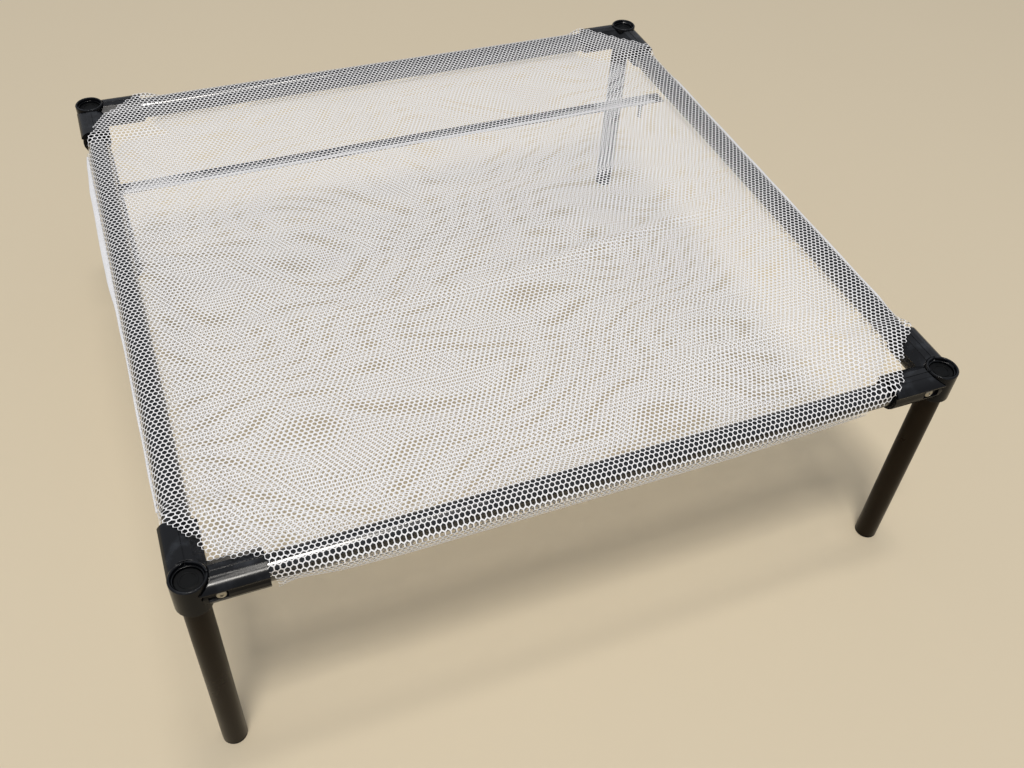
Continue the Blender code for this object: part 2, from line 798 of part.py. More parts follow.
def main():
    clear_scene()
    shades = {
        "connector": material("connector_black", (0.012, 0.013, 0.016), 0.42, 0.0),
        "cap": material("cap_black", (0.015, 0.015, 0.016), 0.5, 0.0),
        "tube": material("painted_tube", (0.022, 0.017, 0.013), 0.35, 0.0),
        "screw": material("zinc_screw", (0.62, 0.56, 0.42), 0.35, 1.0),
        "net": material("white_net", (0.85, 0.85, 0.86), 0.7, 0.0),
        "tape": material("dark_tape", (0.035, 0.036, 0.05), 0.8, 0.0),
        "coil": material("dark_coil", (0.02, 0.02, 0.028), 0.4, 0.0),
        "slider": material("slider_black", (0.02, 0.02, 0.022), 0.35, 0.6),
    }
    build_frame(shades)
    build_net(shades)
    build_zip(shades)
    bpy.context.view_layer.update()


main()
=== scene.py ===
"""Elevated cat bed, dressed: knitted net bag, sewn zip, moulded corners and painted tubes.

All sizes are in metres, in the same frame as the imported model. The origin is on the floor under
the middle of the bed and X runs along the front rail.
"""

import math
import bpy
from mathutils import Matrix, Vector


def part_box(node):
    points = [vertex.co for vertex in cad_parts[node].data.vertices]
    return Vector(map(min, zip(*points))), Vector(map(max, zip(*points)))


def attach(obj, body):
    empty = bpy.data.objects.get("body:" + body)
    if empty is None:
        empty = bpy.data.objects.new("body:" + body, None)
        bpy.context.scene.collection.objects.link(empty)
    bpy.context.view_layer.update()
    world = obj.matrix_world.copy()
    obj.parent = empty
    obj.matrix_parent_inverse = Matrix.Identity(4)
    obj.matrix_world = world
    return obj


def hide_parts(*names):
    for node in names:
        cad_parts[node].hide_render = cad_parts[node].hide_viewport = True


bl_info = {
    "name": "Elevated cat bed",
    "version": (1, 0, 0),
    "blender": (4, 5, 0),
    "location": "3D View > Sidebar > Cat bed",
    "description": "Dresses a low square tube frame with its zipped net bag",
    "category": "Object",
}

import bmesh
import bpy
import numpy as np
from bpy.props import FloatProperty, IntProperty, PointerProperty, StringProperty
from mathutils import Matrix, Vector

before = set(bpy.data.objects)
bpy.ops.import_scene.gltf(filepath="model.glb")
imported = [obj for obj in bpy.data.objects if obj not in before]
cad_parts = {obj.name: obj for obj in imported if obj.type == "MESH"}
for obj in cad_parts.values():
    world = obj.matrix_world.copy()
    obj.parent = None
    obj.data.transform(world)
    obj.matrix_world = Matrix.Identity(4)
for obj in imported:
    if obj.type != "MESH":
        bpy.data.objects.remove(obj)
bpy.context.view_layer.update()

# Places taken from the frame

leg_low, leg_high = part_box("leg_front_left")
rail_low, rail_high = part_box("rail_front")
slider_low, slider_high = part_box("zip_slider")

half_span = -(leg_low.x + leg_high.x) / 2
rail_level = (rail_low.z + rail_high.z) / 2
tube_radius = (rail_high.z - rail_low.z) / 2
zip_y = (slider_low.y + slider_high.y) / 2
zip_half_width = 0.009  # from the middle of the chain to the net on both sides

corners = {
    "front_left": (-1, -1),
    "front_right": (1, -1),
    "back_right": (1, 1),
    "back_left": (-1, 1),
}
rails = {"front": 0, "right": 1, "back": 2, "left": 3}  # quarter turns from the front rail
fit_gap = 0.0003  # between pieces that touch


# Colours, nodes and small mesh helpers

def linear(code):
    """Linear colour from a hex code as it is seen on a screen."""
    levels = [int(code[i:i + 2], 16) / 255 for i in (1, 3, 5)]
    return (*[c / 12.92 if c <= 0.04045 else ((c + 0.055) / 1.055) ** 2.4 for c in levels], 1.0)


def add(tree, kind, inputs=None, **settings):
    """Add a node. An input is a value, a socket to link from, or a node for its first output."""
    node = tree.nodes.new(kind)
    for name, value in settings.items():
        setattr(node, name, value)
    for key, value in (inputs or {}).items():
        if isinstance(key, str):
            socket = next(one for one in node.inputs if one.enabled and one.name == key)
        else:
            socket = node.inputs[key]
        if isinstance(value, bpy.types.Node):
            value = next(one for one in value.outputs if one.enabled)
        if isinstance(value, bpy.types.NodeSocket):
            tree.links.new(value, socket)
        else:
            socket.default_value = value
    return node


def new_material(name):
    """Empty node material and its tree."""
    shade = bpy.data.materials.new(name)
    shade.use_nodes = True
    shade.node_tree.nodes.clear()
    return shade, shade.node_tree


def new_object(name, mesh, *materials):
    """Object at the origin, with its place in its mesh."""
    for shade in materials:
        mesh.materials.append(shade)
    thing = bpy.data.objects.new(name, mesh)
    bpy.context.scene.collection.objects.link(thing)
    return thing


def fit(piece, slot, *nodes):
    """Fix a piece on the bed, in place of its nodes."""
    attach(piece, "bed")
    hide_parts(*nodes)
    return piece


def smooth(mesh, degrees=35.0):
    """Shade a mesh smooth up to an angle."""
    mesh.shade_smooth()
    mesh.set_sharp_from_angle(angle=math.radians(degrees))
    return mesh


def mesh_from(shape, name):
    """Mesh of a bmesh, which is freed."""
    mesh = bpy.data.meshes.new(name)
    shape.to_mesh(mesh)
    shape.free()
    return mesh


def evaluated(thing):
    """Plain mesh of an object as its modifiers leave it. The object is removed."""
    bpy.context.view_layer.update()
    graph = bpy.context.evaluated_depsgraph_get()
    mesh = bpy.data.meshes.new_from_object(thing.evaluated_get(graph))
    bpy.data.objects.remove(thing, do_unlink=True)
    return mesh


def merged_copy(node):
    """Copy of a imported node's mesh: doubles merged, flat faces joined and shaded truly flat."""
    shape = bmesh.new()
    shape.from_mesh(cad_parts[node].data)
    bmesh.ops.remove_doubles(shape, verts=shape.verts, dist=1e-6)
    shape.normal_update()
    bmesh.ops.dissolve_limit(
        shape, angle_limit=math.radians(1.0), verts=shape.verts, edges=shape.edges,
    )
    copy = new_object("copy", smooth(mesh_from(shape, node), 30.0))
    weight = copy.modifiers.new("weight", "WEIGHTED_NORMAL")
    weight.keep_sharp = True
    return evaluated(copy)


def turned(profile, steps):
    """Closed shape turned about Z from (radius, height) points."""
    shape = bmesh.new()
    points = [shape.verts.new((radius, 0.0, height)) for radius, height in profile]
    edges = [shape.edges.new(pair) for pair in zip(points, points[1:])]
    bmesh.ops.spin(
        shape, geom=points + edges, cent=(0, 0, 0), axis=(0, 0, 1), angle=math.tau, steps=steps,
        use_merge=True,
    )
    bmesh.ops.remove_doubles(shape, verts=shape.verts, dist=1e-6)
    bmesh.ops.recalc_face_normals(shape, faces=shape.faces)
    return shape


def arc(centre, radius, start, end, steps=5):
    """Points of a round on a profile, angles in degrees."""
    turns = [math.radians(start + (end - start) * i / steps) for i in range(steps + 1)]
    return [(centre[0] + radius * math.cos(t), centre[1] + radius * math.sin(t)) for t in turns]


def placed(shape, matrix, name):
    """Mesh of a shape moved to its place."""
    bmesh.ops.transform(shape, matrix=matrix, verts=shape.verts)
    return smooth(mesh_from(shape, name))


def path_mesh(points, shares=None):
    """Mesh of one open line of edges. Shares are each point's part of the full width."""
    mesh = bpy.data.meshes.new("path")
    mesh.from_pydata(points, [(i, i + 1) for i in range(len(points) - 1)], [])
    share = mesh.attributes.new("radius", "FLOAT", "POINT")
    share.data.foreach_set("value", shares or [1.0] * len(points))
    return mesh


# Geometry Nodes

def new_tree(name, sizes):
    """Geometry tree with named inputs. Sizes are (name, kind) pairs after the geometry."""
    tree = bpy.data.node_groups.new(name, "GeometryNodeTree")
    tree.interface.new_socket("Geometry", in_out="INPUT", socket_type="NodeSocketGeometry")
    for label, kind in sizes:
        tree.interface.new_socket(label, in_out="INPUT", socket_type="NodeSocket" + kind)
    tree.interface.new_socket("Geometry", in_out="OUTPUT", socket_type="NodeSocketGeometry")
    return tree, add(tree, "NodeGroupInput").outputs


def end_tree(tree, geometry, material):
    """Finish a tree: its instances made real, and its material set."""
    real = add(tree, "GeometryNodeRealizeInstances", {0: geometry})
    dressed = add(tree, "GeometryNodeSetMaterial", {0: real, "Material": material})
    add(tree, "NodeGroupOutput", {0: dressed})
    return tree


def grown(tree, mesh, values):
    """Plain mesh that a tree makes from a mesh, with its inputs set by identifier."""
    thing = bpy.data.objects.new("grown", mesh)
    bpy.context.scene.collection.objects.link(thing)
    step = thing.modifiers.new("nodes", "NODES")
    step.node_group = tree
    for item in tree.interface.items_tree:
        if item.in_out == "INPUT" and item.name in values:
            step[item.identifier] = values[item.name]
    return evaluated(thing)


def net_tree():
    """Flat hexagonal net: each cell is a ring of half strands, raised along their middles."""
    tree, given = new_tree("hexagonal net", [
        ("Columns", "Int"), ("Rows", "Int"), ("Pitch", "Float"), ("Row Pitch", "Float"),
        ("Strand", "Float"), ("Crown", "Float"), ("Material", "Material"),
    ])
    steps = add(tree, "ShaderNodeMath", {0: given["Columns"], 1: 1.0}, operation="SUBTRACT")
    width = add(tree, "ShaderNodeMath", {0: steps, 1: given["Pitch"]}, operation="MULTIPLY")
    steps = add(tree, "ShaderNodeMath", {0: given["Rows"], 1: 1.0}, operation="SUBTRACT")
    length = add(tree, "ShaderNodeMath", {0: steps, 1: given["Row Pitch"]}, operation="MULTIPLY")
    grid = add(tree, "GeometryNodeMeshGrid", {
        "Size X": width, "Size Y": length, "Vertices X": given["Columns"],
        "Vertices Y": given["Rows"],
    })
    # every other row moves half a gap sideways
    place = add(tree, "ShaderNodeSeparateXYZ", {0: add(tree, "GeometryNodeInputPosition")})
    front = add(tree, "ShaderNodeMath", {
        0: length, 1: 0.5, 2: place.outputs["Y"],
    }, operation="MULTIPLY_ADD")
    row = add(tree, "ShaderNodeMath", {0: front, 1: given["Row Pitch"]}, operation="DIVIDE")
    row = add(tree, "ShaderNodeMath", {0: row}, operation="ROUND")
    odd = add(tree, "ShaderNodeMath", {0: row, 1: 2.0}, operation="MODULO")
    side = add(tree, "ShaderNodeMath", {0: odd, 1: 0.5, 2: -0.25}, operation="MULTIPLY_ADD")
    shift = add(tree, "ShaderNodeMath", {0: side, 1: given["Pitch"]}, operation="MULTIPLY")
    offset = add(tree, "ShaderNodeCombineXYZ", {"X": shift})
    rows = add(tree, "GeometryNodeSetPosition", {0: grid, "Offset": offset})
    triangles = add(tree, "GeometryNodeTriangulate", {0: rows}, quad_method="SHORTEST_DIAGONAL")
    cells = add(tree, "GeometryNodeDualMesh", {0: triangles})
    # a ring of quads round each gap, of no width until the gap is scaled
    rings = add(tree, "GeometryNodeExtrudeMesh", {
        0: cells, "Offset Scale": 0.0, "Individual": True,
    })
    kept = add(tree, "GeometryNodeCaptureAttribute", {0: rings}, domain="POINT")
    kept.capture_items.new("BOOLEAN", "Gap")
    tree.links.new(rings.outputs["Top"], kept.inputs["Gap"])
    part = add(tree, "ShaderNodeMath", {0: given["Strand"], 1: given["Pitch"]}, operation="DIVIDE")
    share = add(tree, "ShaderNodeMath", {0: 1.0, 1: part}, operation="SUBTRACT")
    gaps = add(tree, "GeometryNodeScaleElements", {
        0: kept, "Selection": rings.outputs["Top"], "Scale": share,
    }, domain="FACE")
    strands = add(tree, "GeometryNodeDeleteGeometry", {
        0: gaps, "Selection": rings.outputs["Top"],
    }, domain="FACE", mode="ALL")
    middle = add(tree, "FunctionNodeBooleanMath", {0: kept.outputs["Gap"]}, operation="NOT")
    rise = add(tree, "ShaderNodeCombineXYZ", {"Z": given["Crown"]})
    raised = add(tree, "GeometryNodeSetPosition", {0: strands, "Selection": middle, "Offset": rise})
    return end_tree(tree, raised, given["Material"])


def band_tree():
    """Sewn band along a path: a strip with soft edges, and a row of stitches along each side."""
    tree, given = new_tree("sewn band", [
        ("Width", "Float"), ("Thickness", "Float"), ("Spacing", "Float"), ("Stitch", "Float"),
        ("Thread", "Float"), ("Inset", "Float"), ("Slant", "Float"), ("Cloth", "Material"),
        ("Yarn", "Material"),
    ])
    path = add(tree, "GeometryNodeMeshToCurve", {0: given["Geometry"]})
    level = add(tree, "GeometryNodeSetCurveNormal", {0: path}, mode="Z_UP")
    section = add(tree, "GeometryNodeCurvePrimitiveQuadrilateral", {
        "Width": given["Width"], "Height": given["Thickness"],
    })
    bend = add(tree, "ShaderNodeMath", {0: given["Thickness"], 1: 0.45}, operation="MULTIPLY")
    soft = add(tree, "GeometryNodeFilletCurve", {
        0: section, "Count": 3, "Limit Radius": True, "Radius": bend,
    }, mode="POLY")
    share = add(tree, "GeometryNodeInputRadius")
    strip = add(tree, "GeometryNodeCurveToMesh", {
        0: level, 1: soft, "Scale": share, "Fill Caps": True,
    })
    cloth = add(tree, "GeometryNodeSetShadeSmooth", {0: strip})
    points = add(tree, "GeometryNodeCurveToPoints", {
        0: level, "Length": given["Spacing"],
    }, mode="LENGTH")
    bead = add(tree, "GeometryNodeMeshUVSphere", {"Segments": 6, "Rings": 4, "Radius": 1.0})
    half = add(tree, "ShaderNodeMath", {0: given["Stitch"], 1: 0.5}, operation="MULTIPLY")
    size = add(tree, "ShaderNodeCombineXYZ", {
        "X": half, "Y": given["Thread"], "Z": given["Thread"],
    })
    bead = add(tree, "GeometryNodeTransform", {0: bead, "Scale": size})
    stitch = add(tree, "GeometryNodeStoreNamedAttribute", {
        0: bead, "Name": "thread", "Value": True,
    }, data_type="BOOLEAN", domain="FACE")
    sideways = add(tree, "ShaderNodeVectorMath", {
        0: points.outputs["Tangent"], 1: (0.0, 0.0, 1.0),
    }, operation="CROSS_PRODUCT")
    turn = add(tree, "FunctionNodeAlignRotationToVector", {
        "Vector": points.outputs["Tangent"],
    }, axis="X")
    half_width = add(tree, "ShaderNodeMath", {0: given["Width"], 1: 0.5}, operation="MULTIPLY")
    reach = add(tree, "ShaderNodeMath", {0: half_width, 1: given["Inset"]}, operation="SUBTRACT")
    reach = add(tree, "ShaderNodeMath", {0: reach, 1: share}, operation="MULTIPLY")
    half_height = add(tree, "ShaderNodeMath", {0: given["Thickness"], 1: 0.5}, operation="MULTIPLY")
    half_height = add(tree, "ShaderNodeMath", {0: half_height, 1: share}, operation="MULTIPLY")
    lift = add(tree, "ShaderNodeCombineXYZ", {"Z": half_height})
    joined = add(tree, "GeometryNodeJoinGeometry", {0: cloth})
    for side in (-1.0, 1.0):
        far = add(tree, "ShaderNodeMath", {0: reach, 1: side}, operation="MULTIPLY")
        out = add(tree, "ShaderNodeVectorMath", {0: sideways, "Scale": far}, operation="SCALE")
        offset = add(tree, "ShaderNodeVectorMath", {0: out, 1: lift})
        row = add(tree, "GeometryNodeSetPosition", {0: points, "Offset": offset})
        slant = add(tree, "ShaderNodeMath", {0: given["Slant"], 1: side}, operation="MULTIPLY")
        about = add(tree, "ShaderNodeCombineXYZ", {"Z": slant})
        spin = add(tree, "FunctionNodeEulerToRotation", {0: about})
        slanted = add(tree, "FunctionNodeRotateRotation", {
            0: turn, 1: spin,
        }, rotation_space="LOCAL")
        stitches = add(tree, "GeometryNodeInstanceOnPoints", {
            0: row, "Instance": stitch, "Rotation": slanted,
        })
        tree.links.new(stitches.outputs[0], joined.inputs[0])
    real = add(tree, "GeometryNodeRealizeInstances", {0: joined})
    dressed = add(tree, "GeometryNodeSetMaterial", {0: real, "Material": given["Cloth"]})
    thread = add(tree, "GeometryNodeInputNamedAttribute", {"Name": "thread"}, data_type="BOOLEAN")
    dressed = add(tree, "GeometryNodeSetMaterial", {
        0: dressed, "Selection": thread, "Material": given["Yarn"],
    })
    add(tree, "NodeGroupOutput", {0: dressed})
    return tree


def coil_tree():
    """Flattened spiral of nylon wire along X, for one side of a zip chain."""
    tree, given = new_tree("zip coil", [
        ("Length", "Float"), ("Spacing", "Float"), ("Width", "Float"), ("Height", "Float"),
        ("Wire", "Float"), ("Material", "Material"),
    ])
    turns = add(tree, "ShaderNodeMath", {
        0: given["Length"], 1: given["Spacing"],
    }, operation="DIVIDE")
    spiral = add(tree, "GeometryNodeCurveSpiral", {
        "Resolution": 8, "Rotations": turns, "Start Radius": 1.0, "End Radius": 1.0,
        "Height": given["Length"],
    })
    # the spiral turns about Z before it is laid along X, so its height is along X
    halves = []
    for across in ("Height", "Width"):
        half = add(tree, "ShaderNodeMath", {0: given[across], 1: 0.5}, operation="MULTIPLY")
        halves.append(add(tree, "ShaderNodeMath", {
            0: half, 1: given["Wire"],
        }, operation="SUBTRACT"))
    size = add(tree, "ShaderNodeCombineXYZ", {"X": halves[0], "Y": halves[1], "Z": 1.0})
    pressed = add(tree, "GeometryNodeTransform", {0: spiral, "Scale": size})
    start = add(tree, "ShaderNodeMath", {0: given["Length"], 1: -0.5}, operation="MULTIPLY")
    back = add(tree, "ShaderNodeCombineXYZ", {"X": start})
    laid = add(tree, "GeometryNodeTransform", {
        0: pressed, "Rotation": (0.0, math.pi / 2, 0.0), "Translation": back,
    })
    section = add(tree, "GeometryNodeCurvePrimitiveCircle", {
        "Resolution": 4, "Radius": given["Wire"],
    }, mode="RADIUS")
    wire = add(tree, "GeometryNodeCurveToMesh", {0: laid, 1: section, "Fill Caps": True})
    return end_tree(tree, wire, given["Material"])


def copies_tree():
    """A piece repeated at every point of a mesh, turned by each point's own turn."""
    tree, given = new_tree("copies at points", [("Piece", "Object"), ("Material", "Material")])
    piece = add(tree, "GeometryNodeObjectInfo", {"Object": given["Piece"]})
    points = add(tree, "GeometryNodeMeshToPoints", {0: given["Geometry"]})
    turn = add(tree, "GeometryNodeInputNamedAttribute", {"Name": "turn"}, data_type="FLOAT_VECTOR")
    rotation = add(tree, "FunctionNodeEulerToRotation", {0: turn})
    copies = add(tree, "GeometryNodeInstanceOnPoints", {
        0: points, "Instance": piece.outputs["Geometry"], "Rotation": rotation,
    })
    return end_tree(tree, copies, given["Material"])


# Materials

def knitted_polyester(colour):
    """White polyester yarn, warp-knitted: matt and a little fuzzy; its slight translucency is not
    drawn.
    """
    shade, tree = new_material("knitted_polyester")
    place = add(tree, "ShaderNodeTexCoord").outputs["Object"]
    # loops of yarn, about 0.7 mm long
    loops = add(tree, "ShaderNodeTexNoise", {"Vector": place, "Scale": 1400.0, "Detail": 2.0})
    # handling marks, some 60 mm across
    marks = add(tree, "ShaderNodeTexNoise", {"Vector": place, "Scale": 16.0, "Detail": 3.0})
    yarn = add(tree, "ShaderNodeMix", {
        "Factor": marks, "A": linear(colour), "B": linear("#f8f8fb"),
    }, data_type="RGBA")
    shaded = add(tree, "ShaderNodeMapRange", {"Value": loops, "To Min": 0.0, "To Max": 0.25})
    mixed = add(tree, "ShaderNodeMix", {
        "Factor": shaded, "A": yarn, "B": linear("#e6e8ef"),
    }, data_type="RGBA")
    bump = add(tree, "ShaderNodeBump", {"Height": loops, "Strength": 0.5, "Distance": 0.0002})
    fuzz = add(tree, "ShaderNodeMapRange", {"Value": loops, "To Min": 0.45, "To Max": 0.75})
    shader = add(tree, "ShaderNodeBsdfPrincipled", {
        "Base Color": mixed, "Roughness": fuzz, "Normal": bump, "Sheen Weight": 0.5,
        "Specular IOR Level": 0.35,
    })
    add(tree, "ShaderNodeOutputMaterial", {"Surface": shader})
    return shade


def polyester_tape(name, dark, light, pitch):
    """Woven polyester tape or hem: fine ribs each way and a soft grain."""
    shade, tree = new_material(name)
    place = add(tree, "ShaderNodeTexCoord").outputs["Object"]
    # one rib for each thread; a wave repeats every tau / 20 of its scale's unit
    scale = math.tau / 20 / pitch
    along = add(tree, "ShaderNodeTexWave", {
        "Vector": place, "Scale": scale, "Distortion": 0.6, "Detail": 1.0,
    }, bands_direction="X")
    across = add(tree, "ShaderNodeTexWave", {
        "Vector": place, "Scale": scale, "Distortion": 0.6, "Detail": 1.0,
    }, bands_direction="Y")
    weave = add(tree, "ShaderNodeMath", {
        0: along.outputs["Fac"], 1: across.outputs["Fac"],
    }, operation="MULTIPLY")
    # wear, some 8 mm across
    wear = add(tree, "ShaderNodeTexNoise", {"Vector": place, "Scale": 120.0, "Detail": 4.0})
    half = add(tree, "ShaderNodeMath", {0: wear, 1: 0.45}, operation="MULTIPLY")
    tone = add(tree, "ShaderNodeMath", {0: weave, 1: 0.55, 2: half}, operation="MULTIPLY_ADD")
    mixed = add(tree, "ShaderNodeMix", {
        "Factor": tone, "A": linear(dark), "B": linear(light),
    }, data_type="RGBA")
    bump = add(tree, "ShaderNodeBump", {"Height": weave, "Strength": 0.6, "Distance": 0.00025})
    rough = add(tree, "ShaderNodeMapRange", {"Value": wear, "To Min": 0.65, "To Max": 0.9})
    shader = add(tree, "ShaderNodeBsdfPrincipled", {
        "Base Color": mixed, "Roughness": rough, "Normal": bump, "Sheen Weight": 0.2,
    })
    add(tree, "ShaderNodeOutputMaterial", {"Surface": shader})
    return shade


def moulded_plastic(name, colour, rough, dust, shine):
    """Injection-moulded black plastic: a glossy skin, faint flow marks and a little dust."""
    shade, tree = new_material(name)
    place = add(tree, "ShaderNodeTexCoord").outputs["Object"]
    edges = add(tree, "ShaderNodeBevel", {"Radius": 0.0005}, samples=6)
    # spark-eroded grain of the mould, about 0.4 mm
    grain = add(tree, "ShaderNodeTexNoise", {"Vector": place, "Scale": 2400.0, "Detail": 2.0})
    # flow marks, about 12 mm long
    flow = add(tree, "ShaderNodeTexNoise", {"Vector": place, "Scale": 85.0, "Detail": 3.0})
    # specks of lint, 0.2 mm across
    specks = add(tree, "ShaderNodeTexVoronoi", {"Vector": place, "Scale": 900.0})
    facing = add(tree, "ShaderNodeSeparateXYZ", {
        0: add(tree, "ShaderNodeNewGeometry").outputs["Normal"],
    })
    level = add(tree, "ShaderNodeMapRange", {
        "Value": facing.outputs["Z"], "From Min": 0.2, "From Max": 1.0,
    })
    lint = add(tree, "ShaderNodeMapRange", {
        "Value": specks.outputs["Distance"], "From Min": 0.16, "From Max": 0.05,
    })
    film = add(tree, "ShaderNodeMapRange", {"Value": flow, "From Min": 0.5, "From Max": 0.85})
    cover = add(tree, "ShaderNodeMath", {0: lint, 1: 0.5, 2: film}, operation="MULTIPLY_ADD")
    cover = add(tree, "ShaderNodeMath", {0: cover, 1: level}, operation="MULTIPLY")
    cover = add(tree, "ShaderNodeMath", {0: cover, 1: dust}, operation="MULTIPLY")
    mixed = add(tree, "ShaderNodeMix", {
        "Factor": cover, "A": linear(colour), "B": linear("#6d7480"),
    }, data_type="RGBA")
    rough = add(tree, "ShaderNodeMath", {0: flow, 1: 0.12, 2: rough}, operation="MULTIPLY_ADD")
    dull = add(tree, "ShaderNodeMath", {0: cover, 1: 0.6, 2: rough}, operation="MULTIPLY_ADD")
    bump = add(tree, "ShaderNodeBump", {
        "Height": grain, "Strength": 0.06, "Distance": 0.0001, "Normal": edges,
    })
    # painted shade: the specular level is high on upward faces and low on faces that turn sideways
    # or down, so that these reflect little of the floor and stay dark
    sheen = add(tree, "ShaderNodeMapRange", {"Value": level, "To Min": 0.12, "To Max": shine})
    shader = add(tree, "ShaderNodeBsdfPrincipled", {
        "Base Color": mixed, "Roughness": dull, "Normal": bump, "Specular IOR Level": sheen,
    })
    add(tree, "ShaderNodeOutputMaterial", {"Surface": shader})
    return shade


def powder_coat(name, colour, smear, sheen, rough):
    """Powder-coated steel tube, very dark: smeared, with a fine orange peel."""
    shade, tree = new_material(name)
    place = add(tree, "ShaderNodeTexCoord").outputs["Object"]
    # orange peel, about 1.5 mm
    peel = add(tree, "ShaderNodeTexNoise", {"Vector": place, "Scale": 700.0, "Detail": 1.0})
    # smears from hands, some 30 mm long
    smears = add(tree, "ShaderNodeTexNoise", {"Vector": place, "Scale": 30.0, "Detail": 5.0})
    mixed = add(tree, "ShaderNodeMix", {
        "Factor": smears, "A": linear(colour), "B": linear(smear),
    }, data_type="RGBA")
    bump = add(tree, "ShaderNodeBump", {"Height": peel, "Strength": 0.08, "Distance": 0.0002})
    rough = add(tree, "ShaderNodeMapRange", {
        "Value": smears, "To Min": rough, "To Max": rough * 2,
    })
    shader = add(tree, "ShaderNodeBsdfPrincipled", {
        "Base Color": mixed, "Roughness": rough, "Normal": bump, "Specular IOR Level": sheen,
    })
    add(tree, "ShaderNodeOutputMaterial", {"Surface": shader})
    return shade


def plated_zinc():
    """Zinc-plated steel screw: pale grey metal, slightly yellow, with a fine grain."""
    shade, tree = new_material("zinc_plated_steel")
    place = add(tree, "ShaderNodeTexCoord").outputs["Object"]
    # crystals of the zinc, drawn about 0.5 mm wide so that they show
    grain = add(tree, "ShaderNodeTexNoise", {"Vector": place, "Scale": 1800.0, "Detail": 3.0})
    mixed = add(tree, "ShaderNodeMix", {
        "Factor": grain, "A": linear("#b9b6ac"), "B": linear("#8c867a"),
    }, data_type="RGBA")
    rough = add(tree, "ShaderNodeMapRange", {"Value": grain, "To Min": 0.25, "To Max": 0.5})
    shader = add(tree, "ShaderNodeBsdfPrincipled", {
        "Base Color": mixed, "Roughness": rough, "Metallic": 1.0,
    })
    add(tree, "ShaderNodeOutputMaterial", {"Surface": shader})
    return shade


def nylon_wire(colour):
    """Extruded nylon filament of a zip coil: dyed dark, glossy."""
    shade, tree = new_material("nylon_coil_wire")
    place = add(tree, "ShaderNodeTexCoord").outputs["Object"]
    # uneven dye, in patches of 2 mm
    dye = add(tree, "ShaderNodeTexNoise", {"Vector": place, "Scale": 500.0, "Detail": 2.0})
    mixed = add(tree, "ShaderNodeMix", {
        "Factor": dye, "A": linear(colour), "B": linear("#2b2d38"),
    }, data_type="RGBA")
    rough = add(tree, "ShaderNodeMapRange", {"Value": dye, "To Min": 0.25, "To Max": 0.45})
    shader = add(tree, "ShaderNodeBsdfPrincipled", {"Base Color": mixed, "Roughness": rough})
    add(tree, "ShaderNodeOutputMaterial", {"Surface": shader})
    return shade


def stoved_enamel():
    """Die-cast zinc, stove-enamelled black and worn to the metal on its edges."""
    shade, tree = new_material("stove_enamelled_zinc")
    place = add(tree, "ShaderNodeTexCoord").outputs["Object"]
    edges = add(tree, "ShaderNodeBevel", {"Radius": 0.0003}, samples=6)
    flat = add(tree, "ShaderNodeNewGeometry").outputs["Normal"]
    aligned = add(tree, "ShaderNodeVectorMath", {0: edges, 1: flat}, operation="DOT_PRODUCT")
    # chips of about 1 mm along the edges
    chips = add(tree, "ShaderNodeTexNoise", {"Vector": place, "Scale": 900.0, "Detail": 4.0})
    rub = add(tree, "ShaderNodeMath", {
        0: chips, 1: 0.12, 2: aligned.outputs["Value"],
    }, operation="MULTIPLY_ADD")
    worn = add(tree, "ShaderNodeMapRange", {"Value": rub, "From Min": 0.98, "From Max": 0.92})
    mixed = add(tree, "ShaderNodeMix", {
        "Factor": worn, "A": linear("#17171a"), "B": linear("#8d8a86"),
    }, data_type="RGBA")
    rough = add(tree, "ShaderNodeMapRange", {"Value": chips, "To Min": 0.2, "To Max": 0.4})
    shader = add(tree, "ShaderNodeBsdfPrincipled", {
        "Base Color": mixed, "Metallic": worn, "Roughness": rough, "Normal": edges,
    })
    add(tree, "ShaderNodeOutputMaterial", {"Surface": shader})
    return shade


def studio_floor(colour):
    """Plain matt floor, hardly mottled."""
    shade, tree = new_material("plain_matt_floor")
    place = add(tree, "ShaderNodeTexCoord").outputs["Object"]
    # patches of 0.3 m
    mottle = add(tree, "ShaderNodeTexNoise", {"Vector": place, "Scale": 3.0, "Detail": 3.0})
    part = add(tree, "ShaderNodeMapRange", {"Value": mottle, "To Min": 0.0, "To Max": 0.15})
    mixed = add(tree, "ShaderNodeMix", {
        "Factor": part, "A": linear(colour), "B": linear("#cdc0a7"),
    }, data_type="RGBA")
    shader = add(tree, "ShaderNodeBsdfPrincipled", {
        "Base Color": mixed, "Roughness": 0.9, "Specular IOR Level": 0.1,
    })
    add(tree, "ShaderNodeOutputMaterial", {"Surface": shader})
    return shade


# Net bag: one cloth laid out flat, from the zip round the front rail, over the top and round
# the back rail to the zip again. U runs along X, and V along Y over the top.

def fall(value, start, run):
    """1 up to start, then falling smoothly to 0 over the run."""
    share = np.clip((value - start) / run, 0.0, 1.0)
    return 1.0 - share * share * (3.0 - 2.0 * share)


def ripple(u, v, waves):
    """Sum of plane waves, each (height, length along U, length along V, phase)."""
    return sum(
        height * np.sin(math.tau * (u / across + v / along) + phase)
        for height, across, along, phase in waves
    )


def crease(u, v, line, width):
    """How far each point is past a crease, and its share of the crease."""
    along, across, strength = zip(*line)
    past = v - np.interp(u, along, across)
    return past, np.exp(-(past / width) ** 2) * np.interp(u, along, strength)


# (u, v, strength) along each crease of the upper panel
top_creases = (
    ((-0.29, -0.062, 0.0), (-0.151, -0.072, 0.35), (0.002, -0.0735, 0.6), (0.1, -0.058, 1.0),
     (0.2, -0.041, 1.0), (0.29, -0.034, 0.0)),
    ((0.075, -0.216, 0.0), (0.115, -0.21, 0.5), (0.1855, -0.2, 0.5), (0.27, -0.205, 0.0)),
    ((0.12, -0.266, 0.0), (0.138, -0.256, 0.4), (0.166, -0.241, 0.4), (0.25, -0.236, 0.0)),
)

